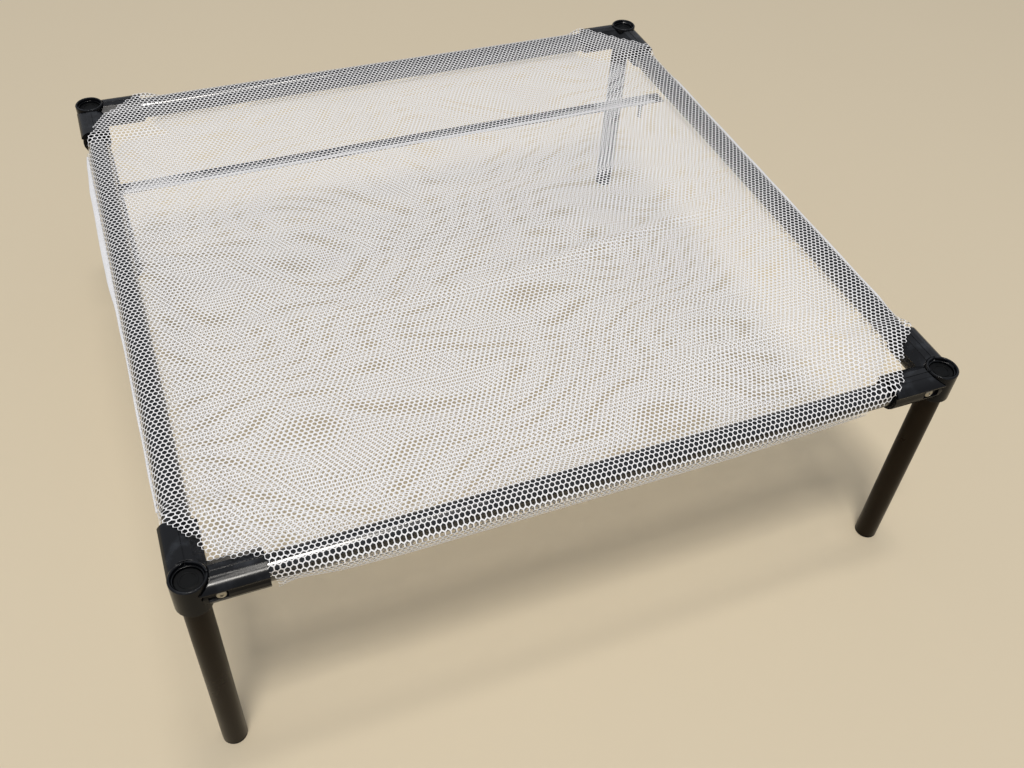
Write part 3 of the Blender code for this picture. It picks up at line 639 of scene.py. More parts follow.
crease_height = 0.0026   # of the ridge
crease_width = 0.0075    # of the ridge, from its middle to where a third of it is left
crease_reach = 0.011     # the rows close up this far on both sides
crease_gather = 0.4      # share by which they do

# Rounds and runs of the net in metres, apart from the two in radians
pull_run = 0.08          # from a rail's side to where the uneven pull is whole
gather_run = 0.02        # from a rail's side to where the rows are closed up
crowd_run = 0.010        # and where the crowded ones are
slack_run = 0.06         # from a rail to where the lower panels hang freely
slack_behind = 0.9       # share of the slack there
slack_back, slack_sides = 0.4, 0.25  # shares of it by the back rail and the side rails
sag_run = 0.03           # from a rail's middle to where the panels' own sag is whole
lower_sag = 0.003        # of the front lower panel's middle
top_sag = 0.0010         # of the upper panel
arm_side = (0.35, 0.9)   # radians from the top of an arm: start and run of the way down to a rail
bulge_side = (0.75, 0.82)  # the same, of the way out to the bulge
thin_side = (0.006, 0.014)  # metres in from a rail's middle: where the thinning ends
fray_size = 0.0005       # spread of the cut edges
panel_seam = -0.06       # Y at which the front lower panel is made as two

# (u, share) of the slack that the net takes up under the front rail
front_slack = (
    (-0.24, 0.0), (-0.228, 0.25), (-0.195, 0.8), (-0.15, 1.0), (0.0, 0.9), (0.1, 0.85),
    (0.17, 0.6), (0.225, 0.25), (0.24, 0.1),
)


class Drape:
    """Where the flat cloth goes once it is pulled over the rails."""

    def __init__(self, net):
        self.reach = tube_radius + net.clearance
        self.low = tube_radius + net.slack
        self.bulge = net.bulge
        self.wrap = self.reach * math.pi / 2
        self.low_wrap = math.pi / 2 * math.hypot(self.reach, self.low) / math.sqrt(2)
        self.edge = half_span + self.wrap
        self.low_edge = half_span + self.low_wrap
        self.arm_width = net.arm_width
        self.arm_height = net.arm_height
        self.arm_end = net.arm_end
        self.arm_fall = net.arm_fall

    def layer(self, v):
        """-1 and 1 for the lower panel in front of and behind the zip, 0 for the upper."""
        return np.where(v < -self.edge, -1, np.where(v > self.edge, 1, 0))

    def lower_v(self, v):
        """V of a lower panel's point, from where the cloth goes round the rail."""
        past = np.abs(v) - self.edge
        return np.sign(v) * (self.low_edge - past)

    def place(self, u, v, lift):
        """Points in space. Lift is their height over the flat cloth."""
        low = self.layer(v) != 0
        over = np.where(low, self.lower_v(v), v)
        wrap = np.where(low, self.low_wrap, self.wrap)
        from_u, from_v = half_span - np.abs(u), half_span - np.abs(over)
        arm = fall(np.maximum(from_u, from_v), self.arm_end, self.arm_fall)
        turn = np.clip(np.maximum(-from_u, -from_v) / wrap, 0.0, 1.0) * math.pi / 2
        # only an arm's top is covered: the net's outer side hugs the rail
        arm = arm * fall(turn, *arm_side)
        loose = self.looseness(u, over)
        bulge = self.bulge * loose * np.where(low, 1.0, 1.0 - fall(turn, *bulge_side))
        width = self.reach + bulge + arm * (self.arm_width - self.reach) + lift
        height = self.reach + arm * (self.arm_height - self.reach)
        hang = self.reach + (self.low - self.reach) * loose
        height = np.where(low, np.maximum(hang, height), height) + lift
        # an ellipse round the rail, squarer round an arm and where it hangs slack
        square = 2.0 + 1.6 * arm + 0.6 * loose * low
        sine, cosine = np.sin(turn), np.clip(np.cos(turn), 0.0, 1.0)
        spread = (sine ** square + cosine ** square) ** (-1.0 / square)
        across, rise = width * spread * sine, height * spread * cosine
        by_u = from_u < np.minimum(from_v, 0.0)
        by_v = ~by_u & (from_v < 0.0)
        x = np.where(from_u < 0.0, np.sign(u) * half_span, u)
        y = np.where(from_v < 0.0, np.sign(over) * half_span, over)
        x = np.where(by_u, x + np.sign(u) * across, x)
        y = np.where(by_v, y + np.sign(over) * across, y)
        inside = fall(-np.minimum(from_u, from_v), -sag_run, sag_run)
        sag = np.where(low, self.belly(u, over), self.billow(u, over)) * inside
        tuck = np.maximum(-from_u - wrap, 0.0)
        z = rail_level + np.where(low, -rise - sag + tuck, rise + sag - tuck)
        return np.stack([x, y, z], axis=1)

    def looseness(self, u, v):
        """Share of the slack that the lower panels take up: tight by the arms and the sides."""
        front = np.interp(u, *zip(*front_slack))
        loose = slack_behind + (front - slack_behind) * fall(half_span + v, 0.0, slack_run)
        for away, share in ((half_span - v, slack_back), (half_span - np.abs(u), slack_sides)):
            loose = loose * (1.0 - (1.0 - share) * fall(away, 0.0, slack_run))
        return loose

    def billow(self, u, v):
        """Height of the upper panel above the rails' tops: creases and slight ripples."""
        height = ripple(u, v, (
            (0.0005, 0.31, 0.9, 0.4), (0.0004, -0.42, 0.23, 2.1), (0.0003, 0.13, 0.17, 4.0),
        ))
        for line in top_creases:
            height = height + crease_height * crease(u, v, line, crease_width)[1]
        return height - top_sag

    def belly(self, u, v):
        """How far the lower panels hang below the slack."""
        share = np.clip((v + half_span) / (zip_y - zip_half_width + half_span), 0.0, 1.0)
        sag = lower_sag * 4 * share * (1 - share) * (1 - (u / half_span) ** 2)
        return sag + ripple(u, v, (
            (0.0012, 0.37, -0.29, 1.0), (0.0009, -0.21, 0.33, 0.2), (0.0005, 0.11, 0.19, 2.7),
        )) * 4 * share * (1 - share)


def cell_shift(u, v, over, low):
    """Uneven pull on the knit, which gives the two layers their moire: the lower one is slack.

    u and v are places on the flat net, and over is the place that v comes to on the frame.
    """
    top = (
        ripple(u, v, ((0.0016, 0.62, 0.41, 0.3), (0.0007, -0.23, 0.35, 1.1))) - 0.008 * v,
        ripple(u, v, ((0.0013, 0.47, -0.66, 2.0), (0.0008, 0.19, 0.27, 0.5))) + 0.008 * u,
    )
    under = (
        ripple(u, v, (
            (0.0026, -0.41, 0.22, 1.7), (0.0010, 0.23, -0.13, 2.9), (0.0003, 0.071, 0.093, 0.4),
        )) - 0.05 * over,
        ripple(u, v, (
            (0.0058, 0.37, 0.27, 0.9), (0.0017, -0.16, 0.17, 3.3), (0.0003, -0.09, 0.065, 1.4),
        )) - 0.035 * u,
    )
    return np.where(low, under[0], top[0]), np.where(low, under[1], top[1])


# Cut lines of the corners on the flat cloth, as (along the front or back rail, along the side
# rail) from each leg. A negative place is on the outer side of a rail.
cut_lines = {
    "front_left": [(-0.030, 0.064), (-0.0056, 0.048), (0.0125, 0.0226), (0.0140, 0.0090),
                   (0.0340, 0.0050), (0.0485, 0.0), (0.050, -0.030)],
    "front_right": [(-0.022, 0.067), (-0.004, 0.049), (0.025, 0.019), (0.039, 0.0),
                    (0.051, -0.009), (0.072, -0.021)],
    "back_left": [(-0.0106, 0.070), (0.0096, 0.026), (0.045, -0.0047), (0.060, -0.022)],
    "back_right": [(-0.022, 0.066), (0.0, 0.044), (0.044, 0.0), (0.066, -0.022)],
}

# The lower layer is cut shorter, and starts past the arms.
low_cut_line = [(-0.030, 0.072), (-0.010, 0.0600), (0.006, 0.0570), (0.026, 0.026),
                (0.0570, 0.006), (0.0540, -0.010), (0.0530, -0.030)]
low_cut_lines = dict.fromkeys(corners, low_cut_line) | {
    "front_right": [(-0.030, 0.085), (-0.005, 0.070), (0.026, 0.026), (0.068, 0.003),
                    (0.071, -0.010), (0.075, -0.030)],
}


def inside_cuts(u, v, fray, lines):
    """True where the flat cloth is left once its corners are cut off."""
    kept = np.ones(len(u), bool)
    for name, (side_x, side_y) in corners.items():
        along, aside = half_span - side_x * u, half_span - side_y * v
        line = np.array(lines[name])
        across, depth = line[:, 0] - line[:, 1], line[:, 0] + line[:, 1]
        order = np.argsort(across)
        kept &= along + aside + fray > np.interp(along - aside, across[order], depth[order])
    return kept


def pulled(flat, drape, net):
    """U and V of the flat net's points, once the knit is pulled unevenly, closed up and creased."""
    u, v = flat[:, 0], flat[:, 1]
    low = drape.layer(v) != 0
    shift_u, shift_v = cell_shift(u, v, np.where(low, drape.lower_v(v), v), low)
    ease = fall(np.abs(np.abs(v) - drape.edge), 0.0, pull_run)
    pulled_u, pulled_v = u + shift_u * (1 - ease), v + shift_v * (1 - ease)
    past = np.maximum(np.abs(v) - drape.edge, 0.0)
    # the rows close up, most of all on a rail's outer side
    closed = net.gather * (past - gather_run * (1 - np.exp(-past / gather_run)))
    pulled_v -= np.sign(v) * (closed + net.crowd * (1 - np.exp(-past / crowd_run)))
    for line in top_creases:
        past, share = crease(pulled_u, pulled_v, line, crease_reach)
        pulled_v = pulled_v - crease_gather * past * share * ~low
    return pulled_u, pulled_v


def panel(name, points, quads, shade):
    """Object made of some quads of the net."""
    used, index = np.unique(quads, return_inverse=True)
    mesh = bpy.data.meshes.new(name)
    mesh.vertices.add(len(used))
    mesh.vertices.foreach_set("co", points[used].astype(np.float32).ravel())
    mesh.loops.add(quads.size)
    mesh.loops.foreach_set("vertex_index", index.ravel().astype(np.int32))
    mesh.polygons.add(len(quads))
    mesh.polygons.foreach_set("loop_start", np.arange(0, quads.size, 4, dtype=np.int32))
    mesh.update(calc_edges=True)
    mesh.validate()
    mesh.shade_smooth()
    return new_object(name, mesh, shade)


def whole_cells(flat, quads, net):
    """Number of the cell that each quad is part of, from its place on the flat net."""
    ends = flat[quads]
    middle = ends.mean(1)
    outer = ends[:, :, 2].argsort(1)[:, 2:]
    rim = np.take_along_axis(ends, outer[:, :, None], 1).mean(1)
    inwards = (middle - rim)[:, :2]
    centre = rim[:, :2] + inwards / np.linalg.norm(inwards, axis=1)[:, None] * net.pitch / 2
    key = np.round(centre / (net.pitch / 4)).astype(int)
    return np.unique(key, axis=0, return_inverse=True)[1].ravel()


def thin_over_rails(flat, quads, drape, net):
    """Widen the gaps where the net is stretched over a rail, so that its strands are thinner."""
    raised = flat[quads][:, :, 2] > net.crown / 2
    partner = np.full(len(flat), -1)
    for step in (1, -1):
        pair = ~raised & np.roll(raised, step, axis=1)
        partner[quads[pair]] = np.roll(quads, step, axis=1)[pair]
    gaps = np.flatnonzero(partner >= 0)
    u, v = flat[gaps, 0], flat[gaps, 1]
    over = np.where(drape.layer(v) != 0, drape.lower_v(v), v)
    away = half_span - np.maximum(np.abs(u), np.abs(over))
    share = net.thinning * fall(away, *thin_side)
    flat[gaps, :2] += (flat[partner[gaps], :2] - flat[gaps, :2]) * share[:, None]


# Settings that a user would change

class NetSettings(bpy.types.PropertyGroup):
    pitch: FloatProperty(
        name="Mesh pitch", description="Middle of one gap to the next, along a row",
        default=0.00405, unit="LENGTH")
    row_pitch: FloatProperty(
        name="Row pitch", description="Middle of one row of gaps to the next",
        default=0.00345, unit="LENGTH")
    strand: FloatProperty(
        name="Strand", description="Width of a knitted strand", default=0.00094, unit="LENGTH")
    crown: FloatProperty(
        name="Crown", description="Height of a strand's middle over its edges",
        default=0.00018, unit="LENGTH")
    clearance: FloatProperty(
        name="Clearance", description="Rail's surface to the net", default=0.0005, unit="LENGTH")
    slack: FloatProperty(
        name="Slack", description="Rail's underside to the lower panels where they hang lowest",
        default=0.0064, unit="LENGTH")
    bulge: FloatProperty(
        name="Bulge", description="How far the slack net stands off the front rail's outer side",
        default=0.0045, unit="LENGTH")
    gather: FloatProperty(
        name="Gather", description="Share by which the rows of the slack lower panels close up",
        default=0.15, min=0.0, max=0.3, subtype="FACTOR")
    crowd: FloatProperty(
        name="Crowding", description="Length of net that is pushed together below a rail's side",
        default=0.005, unit="LENGTH")
    thinning: FloatProperty(
        name="Thinning", description="Share of a strand's width lost by stretching over a rail",
        default=0.16, min=0.0, max=0.5, subtype="FACTOR")
    arm_width: FloatProperty(
        name="Width over an arm", description="Middle of an arm to the net beside it",
        default=0.0143, unit="LENGTH")
    arm_height: FloatProperty(
        name="Height over an arm", description="Middle of an arm to the net over it",
        default=0.0133, unit="LENGTH")
    arm_end: FloatProperty(
        name="Arm end", description="Leg's middle to where the net starts to come down",
        default=0.0517, unit="LENGTH")
    arm_fall: FloatProperty(
        name="Arm fall", description="Length over which the net comes down to the rail",
        default=0.018, unit="LENGTH")
    seed: IntProperty(name="Seed", description="Seed of the frayed edges", default=7)
    colour: StringProperty(name="Yarn", description="Hex colour of the yarn", default="#fcfdff")


class FrameSettings(bpy.types.PropertyGroup):
    steps: IntProperty(
        name="Steps", description="Faces round a tube", default=72, min=12, max=128)
    wall: FloatProperty(
        name="Tube wall", description="Thickness of the tube's wall", default=0.001,
        unit="LENGTH")
    deburr: FloatProperty(
        name="Edge", description="Round of the tube's cut ends", default=0.0003, unit="LENGTH")
    # the legs' brown is painted reflection of the floor on black paint
    legs: StringProperty(name="Legs", description="Hex colour of the legs", default="#150d05")
    rails: StringProperty(name="Rails", description="Hex colour of the rails", default="#0a0b0d")
    plastic: StringProperty(
        name="Plastic", description="Hex colour of the corner connectors", default="#0a0b0e")


class ZipSettings(bpy.types.PropertyGroup):
    coil_spacing: FloatProperty(
        name="Coil spacing", description="One turn of the coil to the next", default=0.00125,
        unit="LENGTH")
    coil_wire: FloatProperty(
        name="Coil wire", description="Radius of the coil's nylon", default=0.00028,
        unit="LENGTH")
    stitch_spacing: FloatProperty(
        name="Stitch spacing", description="One stitch to the next", default=0.0026,
        unit="LENGTH")
    thread: FloatProperty(
        name="Thread", description="Radius of the sewing thread", default=0.00016,
        unit="LENGTH")
    tape: StringProperty(name="Tape", description="Hex colour of the zip tapes", default="#20222e")


class StageSettings(bpy.types.PropertyGroup):
    focal: FloatProperty(
        name="Focal length", description="Camera's focal length on a 36 mm sensor",
        default=36.97, unit="CAMERA")
    floor: StringProperty(name="Floor", description="Hex colour of the floor", default="#d9ccb3")
    light: FloatProperty(
        name="Light", description="Power of the soft light from above", default=184.0, unit="POWER")
    far_light: FloatProperty(
        name="Far light", description="Power of the small light over the bed", default=33.0,
        unit="POWER")
    glow: FloatProperty(
        name="Glow", description="Light from all round, 1 is white", default=0.385)


# Operators, one for each group of pieces

class CATBED_OT_tubes(bpy.types.Operator):
    """Add the painted rails and legs"""
    bl_idname = "cat_bed.add_tubes"
    bl_label = "Add tubes"

    def execute(self, context):
        size = context.scene.cat_bed_frame
        # painted reflection: the legs and rails are one black paint, made as two copies. The legs'
        # copy is brown, with brown smears, and reflects little, which paints in the floor's brown
        # reflection on their sides. The rails' copy reflects twice as strongly as plain paint,
        # which brightens their highlights
        legs_painted_reflection = powder_coat("powder_coated_steel_satin", size.legs, "#1e150a", 0.09, 0.2)
        gloss = powder_coat("powder_coated_steel_gloss", size.rails, "#121418", 1.0, 0.11)
        inner = tube_radius - size.wall
        for name in [*("leg_" + corner for corner in corners), *("rail_" + side for side in rails)]:
            low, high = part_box(name)
            lengths = high - low
            axis = max(range(3), key=lambda i: lengths[i])
            top, round_by = lengths[axis] / 2, size.deburr
            end = arc((tube_radius - round_by, top - round_by), round_by, 0, 90)
            end += arc((inner + round_by, top - round_by), round_by, 90, 180)
            profile = [*end, *[(radius, -height) for radius, height in reversed(end)], end[0]]
            shape = turned(profile, size.steps)
            turn = ("Y", "X", "Z")[axis]
            spin = Matrix.Rotation(math.pi / 2 if axis < 2 else 0.0, 4, turn)
            mesh = placed(shape, Matrix.Translation((low + high) / 2) @ spin, name)
            tube = new_object("painted_" + name, mesh, legs_painted_reflection if axis == 2 else gloss)
            fit(tube, "tube", name)
        return {"FINISHED"}


class CATBED_OT_corners(bpy.types.Operator):
    """Add the moulded corner connectors"""
    bl_idname = "cat_bed.add_corners"
    bl_label = "Add corner connectors"

    def execute(self, context):
        size = context.scene.cat_bed_frame
        plastic = moulded_plastic("injection_moulded_abs", size.plastic, 0.17, 0.16, 0.5)
        for name in corners:
            node = "corner_" + name
            fit(new_object("moulded_" + node, merged_copy(node), plastic), "connector", node)
        return {"FINISHED"}


class CATBED_OT_caps(bpy.types.Operator):
    """Add the caps in the legs' tops and the plugs in their feet"""
    bl_idname = "cat_bed.add_caps"
    bl_label = "Add caps and feet"

    def execute(self, context):
        # painted shade: this black plastic is made darker and less reflective than the connectors',
        # standing in for shade in the hubs' recesses over the caps; the foot plugs share it
        plastic = moulded_plastic("injection_moulded_polyethylene", "#050607", 0.45, 0.03, 0.2)
        for name in corners:
            for node in ("leg_cap_" + name, "foot_plug_" + name):
                fit(new_object("moulded_" + node, merged_copy(node), plastic), "cap", node)
        return {"FINISHED"}


class CATBED_OT_screws(bpy.types.Operator):
    """Add the cross-recessed screws in the connectors' pockets"""
    bl_idname = "cat_bed.add_screws"
    bl_label = "Add screws"

    def execute(self, context):
        low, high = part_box("screw_front_a")
        radius = (high.x - low.x) / 2
        rim, crown, height, shank = 0.0007, 0.0013, 0.0020, 0.0018
        dome = [(radius * math.sin(t), rim + crown * math.cos(t))
                for t in [math.pi / 2 * i / 8 for i in range(9)]]
        tip = height - (high.y - low.y)
        shape = turned([
            *dome, (radius, 0.0), (shank, 0.0), (shank, tip + shank), (0.0, tip),
        ], 40)
        body = new_object("screw_blank", mesh_from(shape, "screw"))
        for turn in (0.0, math.pi / 2):
            cutter = new_object("recess", self.recess(turn + 0.5))
            step = body.modifiers.new("recess", "BOOLEAN")
            step.object = cutter
            step.solver = "EXACT"
            cut = evaluated(body)
            bpy.data.objects.remove(cutter, do_unlink=True)
            body = new_object("screw_blank", cut)
        smooth(body.data, 40.0)
        places, turns, nodes = [], [], []
        for side, quarter in rails.items():
            spin = Matrix.Rotation(quarter * math.pi / 2, 3, "Z")
            out = spin @ Vector((0.0, -1.0, 0.0))
            for end in ("a", "b"):
                node = "screw_" + side + "_" + end
                low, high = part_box(node)
                reach = (high - low).dot(Vector(map(abs, out))) / 2
                places.append((low + high) / 2 + out * (reach - height))
                turns.append((spin @ Matrix.Rotation(math.pi / 2, 3, "X")).to_euler())
                nodes.append(node)
        mesh = bpy.data.meshes.new("screw_places")
        mesh.from_pydata(places, [], [])
        turn = mesh.attributes.new("turn", "FLOAT_VECTOR", "POINT")
        turn.data.foreach_set("vector", [angle for one in turns for angle in one])
        made = grown(copies_tree(), mesh, {"Piece": body, "Material": plated_zinc()})
        bpy.data.objects.remove(body, do_unlink=True)
        fit(new_object("cross_recessed_screws", made), "screw", *nodes)
        return {"FINISHED"}

    def recess(self, turn):
        """Tapered blade that cuts one slot of the cross, turned about the screw's axis."""
        length, width, taper = 0.0040, 0.0009, 0.45
        top, bottom = 0.0026, 0.0005
        blade = bmesh.new()
        bmesh.ops.create_cube(blade, size=1.0)
        for point in blade.verts:
            x, y, z = point.co
            share = 1.0 if z > 0 else taper
            point.co = (x * length * share, y * width * share, top if z > 0 else bottom)
        bmesh.ops.rotate(blade, verts=blade.verts, matrix=Matrix.Rotation(turn, 3, "Z"))
        return mesh_from(blade, "recess")


class CATBED_OT_net(bpy.types.Operator):
    """Knit the net, cut its corners off and pull it over the rails"""
    bl_idname = "cat_bed.add_net"
    bl_label = "Add net"

    def execute(self, context):
        net = context.scene.cat_bed_net
        yarn = knitted_polyester(net.colour)
        drape = Drape(net)
        zip_front, zip_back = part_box("net_lower_front")[1].y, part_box("net_lower_back")[0].y
        front_end = drape.edge + drape.low_edge + zip_front
        back_end = drape.edge + drape.low_edge - zip_back
        front_flat, back_flat = (
            drape.edge + (end - drape.edge + net.crowd) / (1 - net.gather)
            for end in (front_end, back_end)
        )
        # more columns and rows than the panels need, for the uneven pull
        spare = 0.02
        values = {
            "Columns": int(2 * (drape.low_edge + spare) / net.pitch) + 4,
            "Rows": int((front_flat + back_flat) / net.row_pitch) + 20,
            "Pitch": net.pitch, "Row Pitch": net.row_pitch, "Strand": net.strand,
            "Crown": net.crown, "Material": yarn,
        }
        tree = net_tree()
        flat, quads = self.knit(tree, values)
        flat[:, 1] += (back_flat - front_flat) / 2
        thin_over_rails(flat, quads, drape, net)
        u, v = pulled(flat, drape, net)
        points = drape.place(u, v, flat[:, 2])
        middle_v = v[quads].mean(1)
        layer = drape.layer(middle_v)
        cells = whole_cells(flat, quads, net)
        cell_u, cell_v = (
            np.bincount(cells, middle)[cells] / np.bincount(cells)[cells]
            for middle in (u[quads].mean(1), middle_v)
        )
        over = np.where(layer == 0, cell_v, drape.lower_v(cell_v))
        random = np.random.default_rng(net.seed)
        fray = random.normal(0.0, fray_size, cells.max() + 1)[cells]
        kept = np.where(
            layer == 0,
            inside_cuts(cell_u, over, fray, cut_lines),
            inside_cuts(cell_u, over, fray, low_cut_lines),
        )
        kept &= np.abs(cell_u) < np.where(layer == 0, drape.edge, drape.low_edge)
        # beside the ends of the zip the front panel runs on as far as the rear one
        beside = np.abs(cell_u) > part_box("zip_tape_front")[1].x
        gap = zip_back - zip_front
        kept &= (middle_v > -front_end - gap * beside) & (middle_v < back_end)
        for node in ("zip_cover_left", "zip_cover_right"):
            self.add_cover(node, tree, values)
        seams = ["overlocked_net_seam_left", "overlocked_net_seam_right"]
        front_trim = ["sewn_zip_hem_front", "sewn_zip_tape_front", "nylon_coil_front"]
        back_trim = ["sewn_zip_hem_back", "sewn_zip_tape_back", "nylon_coil_back"]
        covers = ["knitted_zip_cover_left", "knitted_zip_cover_right"]
        front = layer == -1
        panels = (
            ("net_top_front", "net_top", (layer == 0) & (middle_v < 0.0), seams),
            ("net_top_back", "net_top", (layer == 0) & (middle_v >= 0.0), []),
            ("net_lower_front_a", "net_lower_front", front & (over < panel_seam), []),
            ("net_lower_front_b", "net_lower_front", front & (over >= panel_seam), front_trim),
            ("net_lower_rear", "net_lower_back", layer == 1, back_trim + covers),
        )
        for name, node, part, trim in panels:
            some = quads[kept & part]
            piece = fit(panel(name, points, some, yarn), "net", node)
        return {"FINISHED"}

    def knit(self, tree, values):
        """Points of the flat net, and the numbers of each quad's four points."""
        mesh = grown(tree, bpy.data.meshes.new("blank"), values)
        flat = np.empty(len(mesh.vertices) * 3)
        mesh.vertices.foreach_get("co", flat)
        quads = np.empty(len(mesh.loops), np.int32)
        mesh.loops.foreach_get("vertex_index", quads)
        bpy.data.meshes.remove(mesh)
        return flat.reshape(-1, 3), quads.reshape(-1, 4)

    def add_cover(self, node, tree, values):
        """Strip of net over one end of the zip."""
        low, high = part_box(node)
        size = high - low
        sizes = {
            "Columns": int(size.x / values["Pitch"]), "Rows": int(size.y / values["Row Pitch"]) + 2,
        }
        strip = grown(tree, bpy.data.meshes.new("blank"), values | sizes)
        strip.transform(Matrix.Translation((low + high) / 2))
        strip.shade_smooth()
        fit(new_object("knitted_" + node, strip), "net", node)


# (y, share) of each side seam's full width
seam_shares = {
    "left": ((-0.225, 0.3), (-0.2, 0.34), (-0.05, 0.36), (0.0, 0.55), (0.03, 0.93), (0.1, 0.97),
             (0.16, 0.93), (0.2, 0.62), (0.22, 0.3)),
    "right": ((-0.225, 0.35), (-0.19, 0.9), (0.0, 0.96), (0.18, 0.9), (0.22, 0.3)),
}


def sewn(node, name, path, size, cloths, slot, zips, tree, slant=0.0, shares=None):
    """Band sewn along a path in place of a node. Cloths are its cloth and its thread."""
    values = {
        "Width": size[0], "Thickness": size[1], "Spacing": zips.stitch_spacing,
        "Stitch": zips.stitch_spacing * 0.8, "Thread": zips.thread, "Inset": 0.0012,
        "Slant": slant, "Cloth": cloths[0], "Yarn": cloths[1],
    }
    fit(new_object(name, grown(tree, path_mesh(path, shares), values)), slot, node)


class CATBED_OT_zip(bpy.types.Operator):
    """Add the zip with its hems, tapes and coils, dress its slider, pull and stops, and add the
    bag's side seams
    """
    bl_idname = "cat_bed.add_zip"
    bl_label = "Add zip and seams"

    def execute(self, context):
        zips = context.scene.cat_bed_zip
        tree = band_tree()
        # hems of folded net, some 0.9 mm a thread
        hem = polyester_tape("folded_knit_hem", "#e0e2e8", "#fbfbfd", 0.0009)
        tape = polyester_tape("woven_zip_tape", "#12131b", zips.tape, 0.0007)
        thread = polyester_tape("spun_polyester_thread", "#d6d8de", "#f6f7f9", 0.0003)
        dark_thread = polyester_tape("dyed_polyester_thread", "#14151c", "#2a2c38", 0.0003)
        for side in ("front", "back"):
            self.add_hem(side, (hem, thread), zips, tree)
            self.add_tape(side, (tape, dark_thread), zips, tree)
            self.add_coil(side, zips)
        for side in ("left", "right"):
            self.add_seam(side, (hem, thread), zips, tree)
        enamel = stoved_enamel()
        for node in ("zip_slider", "zip_pull"):
            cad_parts[node].data.materials[0] = enamel
        stop = moulded_plastic("ultrasonically_pressed_nylon", "#15161b", 0.3, 0.1, 0.5)
        for node in ("zip_stop_left", "zip_stop_right"):
            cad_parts[node].data.materials[0] = stop
        return {"FINISHED"}

    def add_hem(self, side, cloths, zips, tree):
        """Narrow hem, pressed flat: it reaches over its tape, up to the slider's way."""
        node = "zip_hem_" + side
        low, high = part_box(node)
        low.y, high.y = low.y + 0.0034, slider_low.y - fit_gap
        if side == "back":
            # known fault: high.y is no longer the node's here, so this hem comes out without width
            low.y, high.y = slider_high.y + fit_gap, high.y - 0.0038
        middle, size = (low + high) / 2, high - low
        sway = 0.0004
        path = [
            (x, middle.y + sway * math.sin(x * 23 + middle.y * 90), middle.z)
            for x in np.linspace(low.x, high.x, 90)
        ]
        sewn(node, "sewn_" + node, path, (size.y - 2 * sway, size.z), cloths, "hem", zips, tree)

    def add_tape(self, side, cloths, zips, tree):
        """Woven tape on its coil. The frame's own copy has its ends folded over the side rails."""
        node = "zip_tape_" + side
        low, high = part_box(node)
        thickness, end = 0.0007, half_span - 0.004
        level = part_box("zip_coil_" + side)[1].z + fit_gap + 0.0004
        path = [(x, (low.y + high.y) / 2, level) for x in np.linspace(-end, end, 90)]
        sewn(node, "sewn_" + node, path, (high.y - low.y, thickness), cloths, "tape", zips, tree)

    def add_coil(self, side, zips):
        """Coiled wire along the edge of a tape."""
        node = "zip_coil_" + side
        low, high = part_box(node)
        size = high - low
        values = {
            "Length": size.x, "Spacing": zips.coil_spacing, "Width": size.y,
            "Height": size.z, "Wire": zips.coil_wire, "Material": nylon_wire("#15161d"),
        }
        made = grown(coil_tree(), bpy.data.meshes.new("blank"), values)
        made.transform(Matrix.Translation((low + high) / 2))
        made.shade_smooth()
        fit(new_object("nylon_coil_" + side, made), "coil", node)

    def add_seam(self, side, cloths, zips, tree):
        """Overlocked fin outside a side rail: wide where the net pulls it straight out."""
        node = "net_seam_" + side
        low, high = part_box(node)
        sign = -1 if side == "left" else 1
        full, thickness, tuck = high.x - low.x, 0.0016, 0.0004
        edge = low.x if side == "right" else high.x
        path, shares = [], []
        # the fin runs a little past its node's ends
        for y in np.linspace(low.y - 0.014, high.y + 0.010, 200):
            wave = math.sin(y * 95 + 1.3 * math.sin(y * 31))
            share = float(np.interp(y, *zip(*seam_shares[side]))) + 0.03 * wave
            path.append((edge + sign * (full * share / 2 - tuck), y, (low.z + high.z) / 2))
            shares.append(share)
        sewn(node, "overlocked_" + node, path, (full, thickness), cloths, "net", zips, tree,
             slant=0.9, shares=shares)


# The camera, as the frame's corners in the photograph give it
camera_place = (-0.25998, -0.70089, 0.77593)
camera_angles = (24.01, 45.73, 3.80)  # degrees: azimuth from Y, elevation, roll


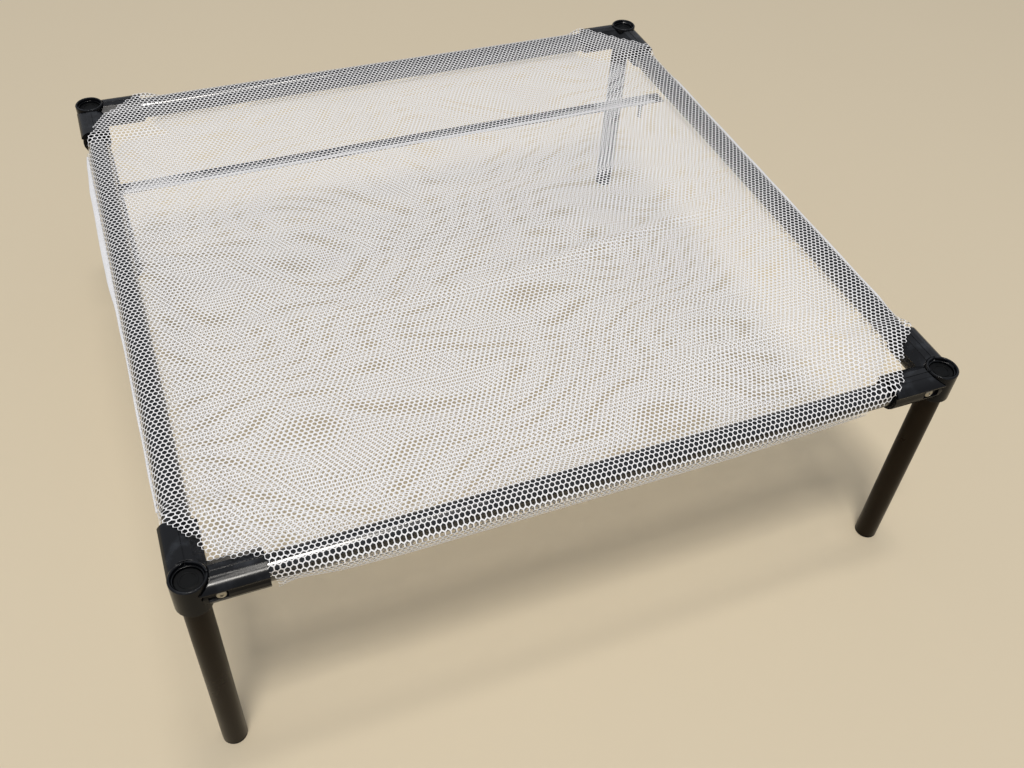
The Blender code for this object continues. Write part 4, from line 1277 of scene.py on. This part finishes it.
class CATBED_OT_stage(bpy.types.Operator):
    """Add the plain floor, the soft lights and the camera"""
    bl_idname = "cat_bed.add_stage"
    bl_label = "Add stage"

    def execute(self, context):
        stage = context.scene.cat_bed_stage
        shape = bmesh.new()
        bmesh.ops.create_grid(shape, x_segments=8, y_segments=8, size=6.0)
        floor = new_object("floor", mesh_from(shape, "floor"), studio_floor(stage.floor))
        world = bpy.data.worlds.new("studio")
        world.use_nodes = True
        tree = world.node_tree
        tree.nodes.clear()
        glow = add(tree, "ShaderNodeBackground", {
            "Color": linear("#f0f4fc"), "Strength": stage.glow,
        })
        add(tree, "ShaderNodeOutputWorld", {"Surface": glow})
        context.scene.world = world
        # one soft lamp high over the front, and a small one right over the bed for its highlights
        for name, size, power, place in (
            ("ceiling_light", (1.2, 1.15), stage.light, (-0.82, -1.75, 5.5)),
            ("far_ceiling_light", (0.8, 0.4), stage.far_light, (0.33, 0.16, 5.2)),
        ):
            lamp = bpy.data.lights.new(name, "AREA")
            lamp.shape = "RECTANGLE"
            lamp.size, lamp.size_y = size
            lamp.energy = power
            lamp.color = linear("#fffaf2")[:3]
            thing = bpy.data.objects.new(name, lamp)
            context.scene.collection.objects.link(thing)
            thing.location = place
        self.add_camera(context, stage)
        context.scene.view_settings.view_transform = "Standard"
        return {"FINISHED"}

    def add_camera(self, context, stage):
        """Camera at the photograph's place, over the front left corner."""
        lens = bpy.data.cameras.new("camera")
        lens.lens = stage.focal
        lens.clip_start = 0.01
        camera = bpy.data.objects.new("camera", lens)
        context.scene.collection.objects.link(camera)
        azimuth, elevation, roll = map(math.radians, camera_angles)
        forward = Vector((
            math.sin(azimuth) * math.cos(elevation), math.cos(azimuth) * math.cos(elevation),
            -math.sin(elevation),
        ))
        turn = forward.to_track_quat("-Z", "Y").to_matrix()
        camera.rotation_euler = (turn @ Matrix.Rotation(roll, 3, "Z")).to_euler()
        camera.location = camera_place
        context.scene.camera = camera


class CATBED_PT_panel(bpy.types.Panel):
    """Buttons that dress the bed"""
    bl_label = "Cat bed"
    bl_idname = "CATBED_PT_panel"
    bl_space_type = "VIEW_3D"
    bl_region_type = "UI"
    bl_category = "Cat bed"

    def draw(self, context):
        for settings in ("cat_bed_frame", "cat_bed_net", "cat_bed_zip", "cat_bed_stage"):
            group = getattr(context.scene, settings)
            for name in group.__annotations__:
                self.layout.prop(group, name)
        for operator in operators:
            self.layout.operator(operator.bl_idname)


operators = (
    CATBED_OT_tubes, CATBED_OT_corners, CATBED_OT_caps, CATBED_OT_screws, CATBED_OT_zip,
    CATBED_OT_net, CATBED_OT_stage,
)
settings = {
    "cat_bed_frame": FrameSettings,
    "cat_bed_net": NetSettings,
    "cat_bed_zip": ZipSettings,
    "cat_bed_stage": StageSettings,
}


def register():
    for kind in (*settings.values(), *operators, CATBED_PT_panel):
        bpy.utils.register_class(kind)
    for name, kind in settings.items():
        setattr(bpy.types.Scene, name, PointerProperty(type=kind))


def unregister():
    for name in settings:
        delattr(bpy.types.Scene, name)
    for kind in (CATBED_PT_panel, *reversed(operators), *reversed(list(settings.values()))):
        bpy.utils.unregister_class(kind)


def main():
    register()
    bpy.ops.cat_bed.add_tubes()
    bpy.ops.cat_bed.add_corners()
    bpy.ops.cat_bed.add_caps()
    bpy.ops.cat_bed.add_screws()
    bpy.ops.cat_bed.add_zip()
    bpy.ops.cat_bed.add_net()
    bpy.ops.cat_bed.add_stage()


if __name__ == "__main__":
    main()
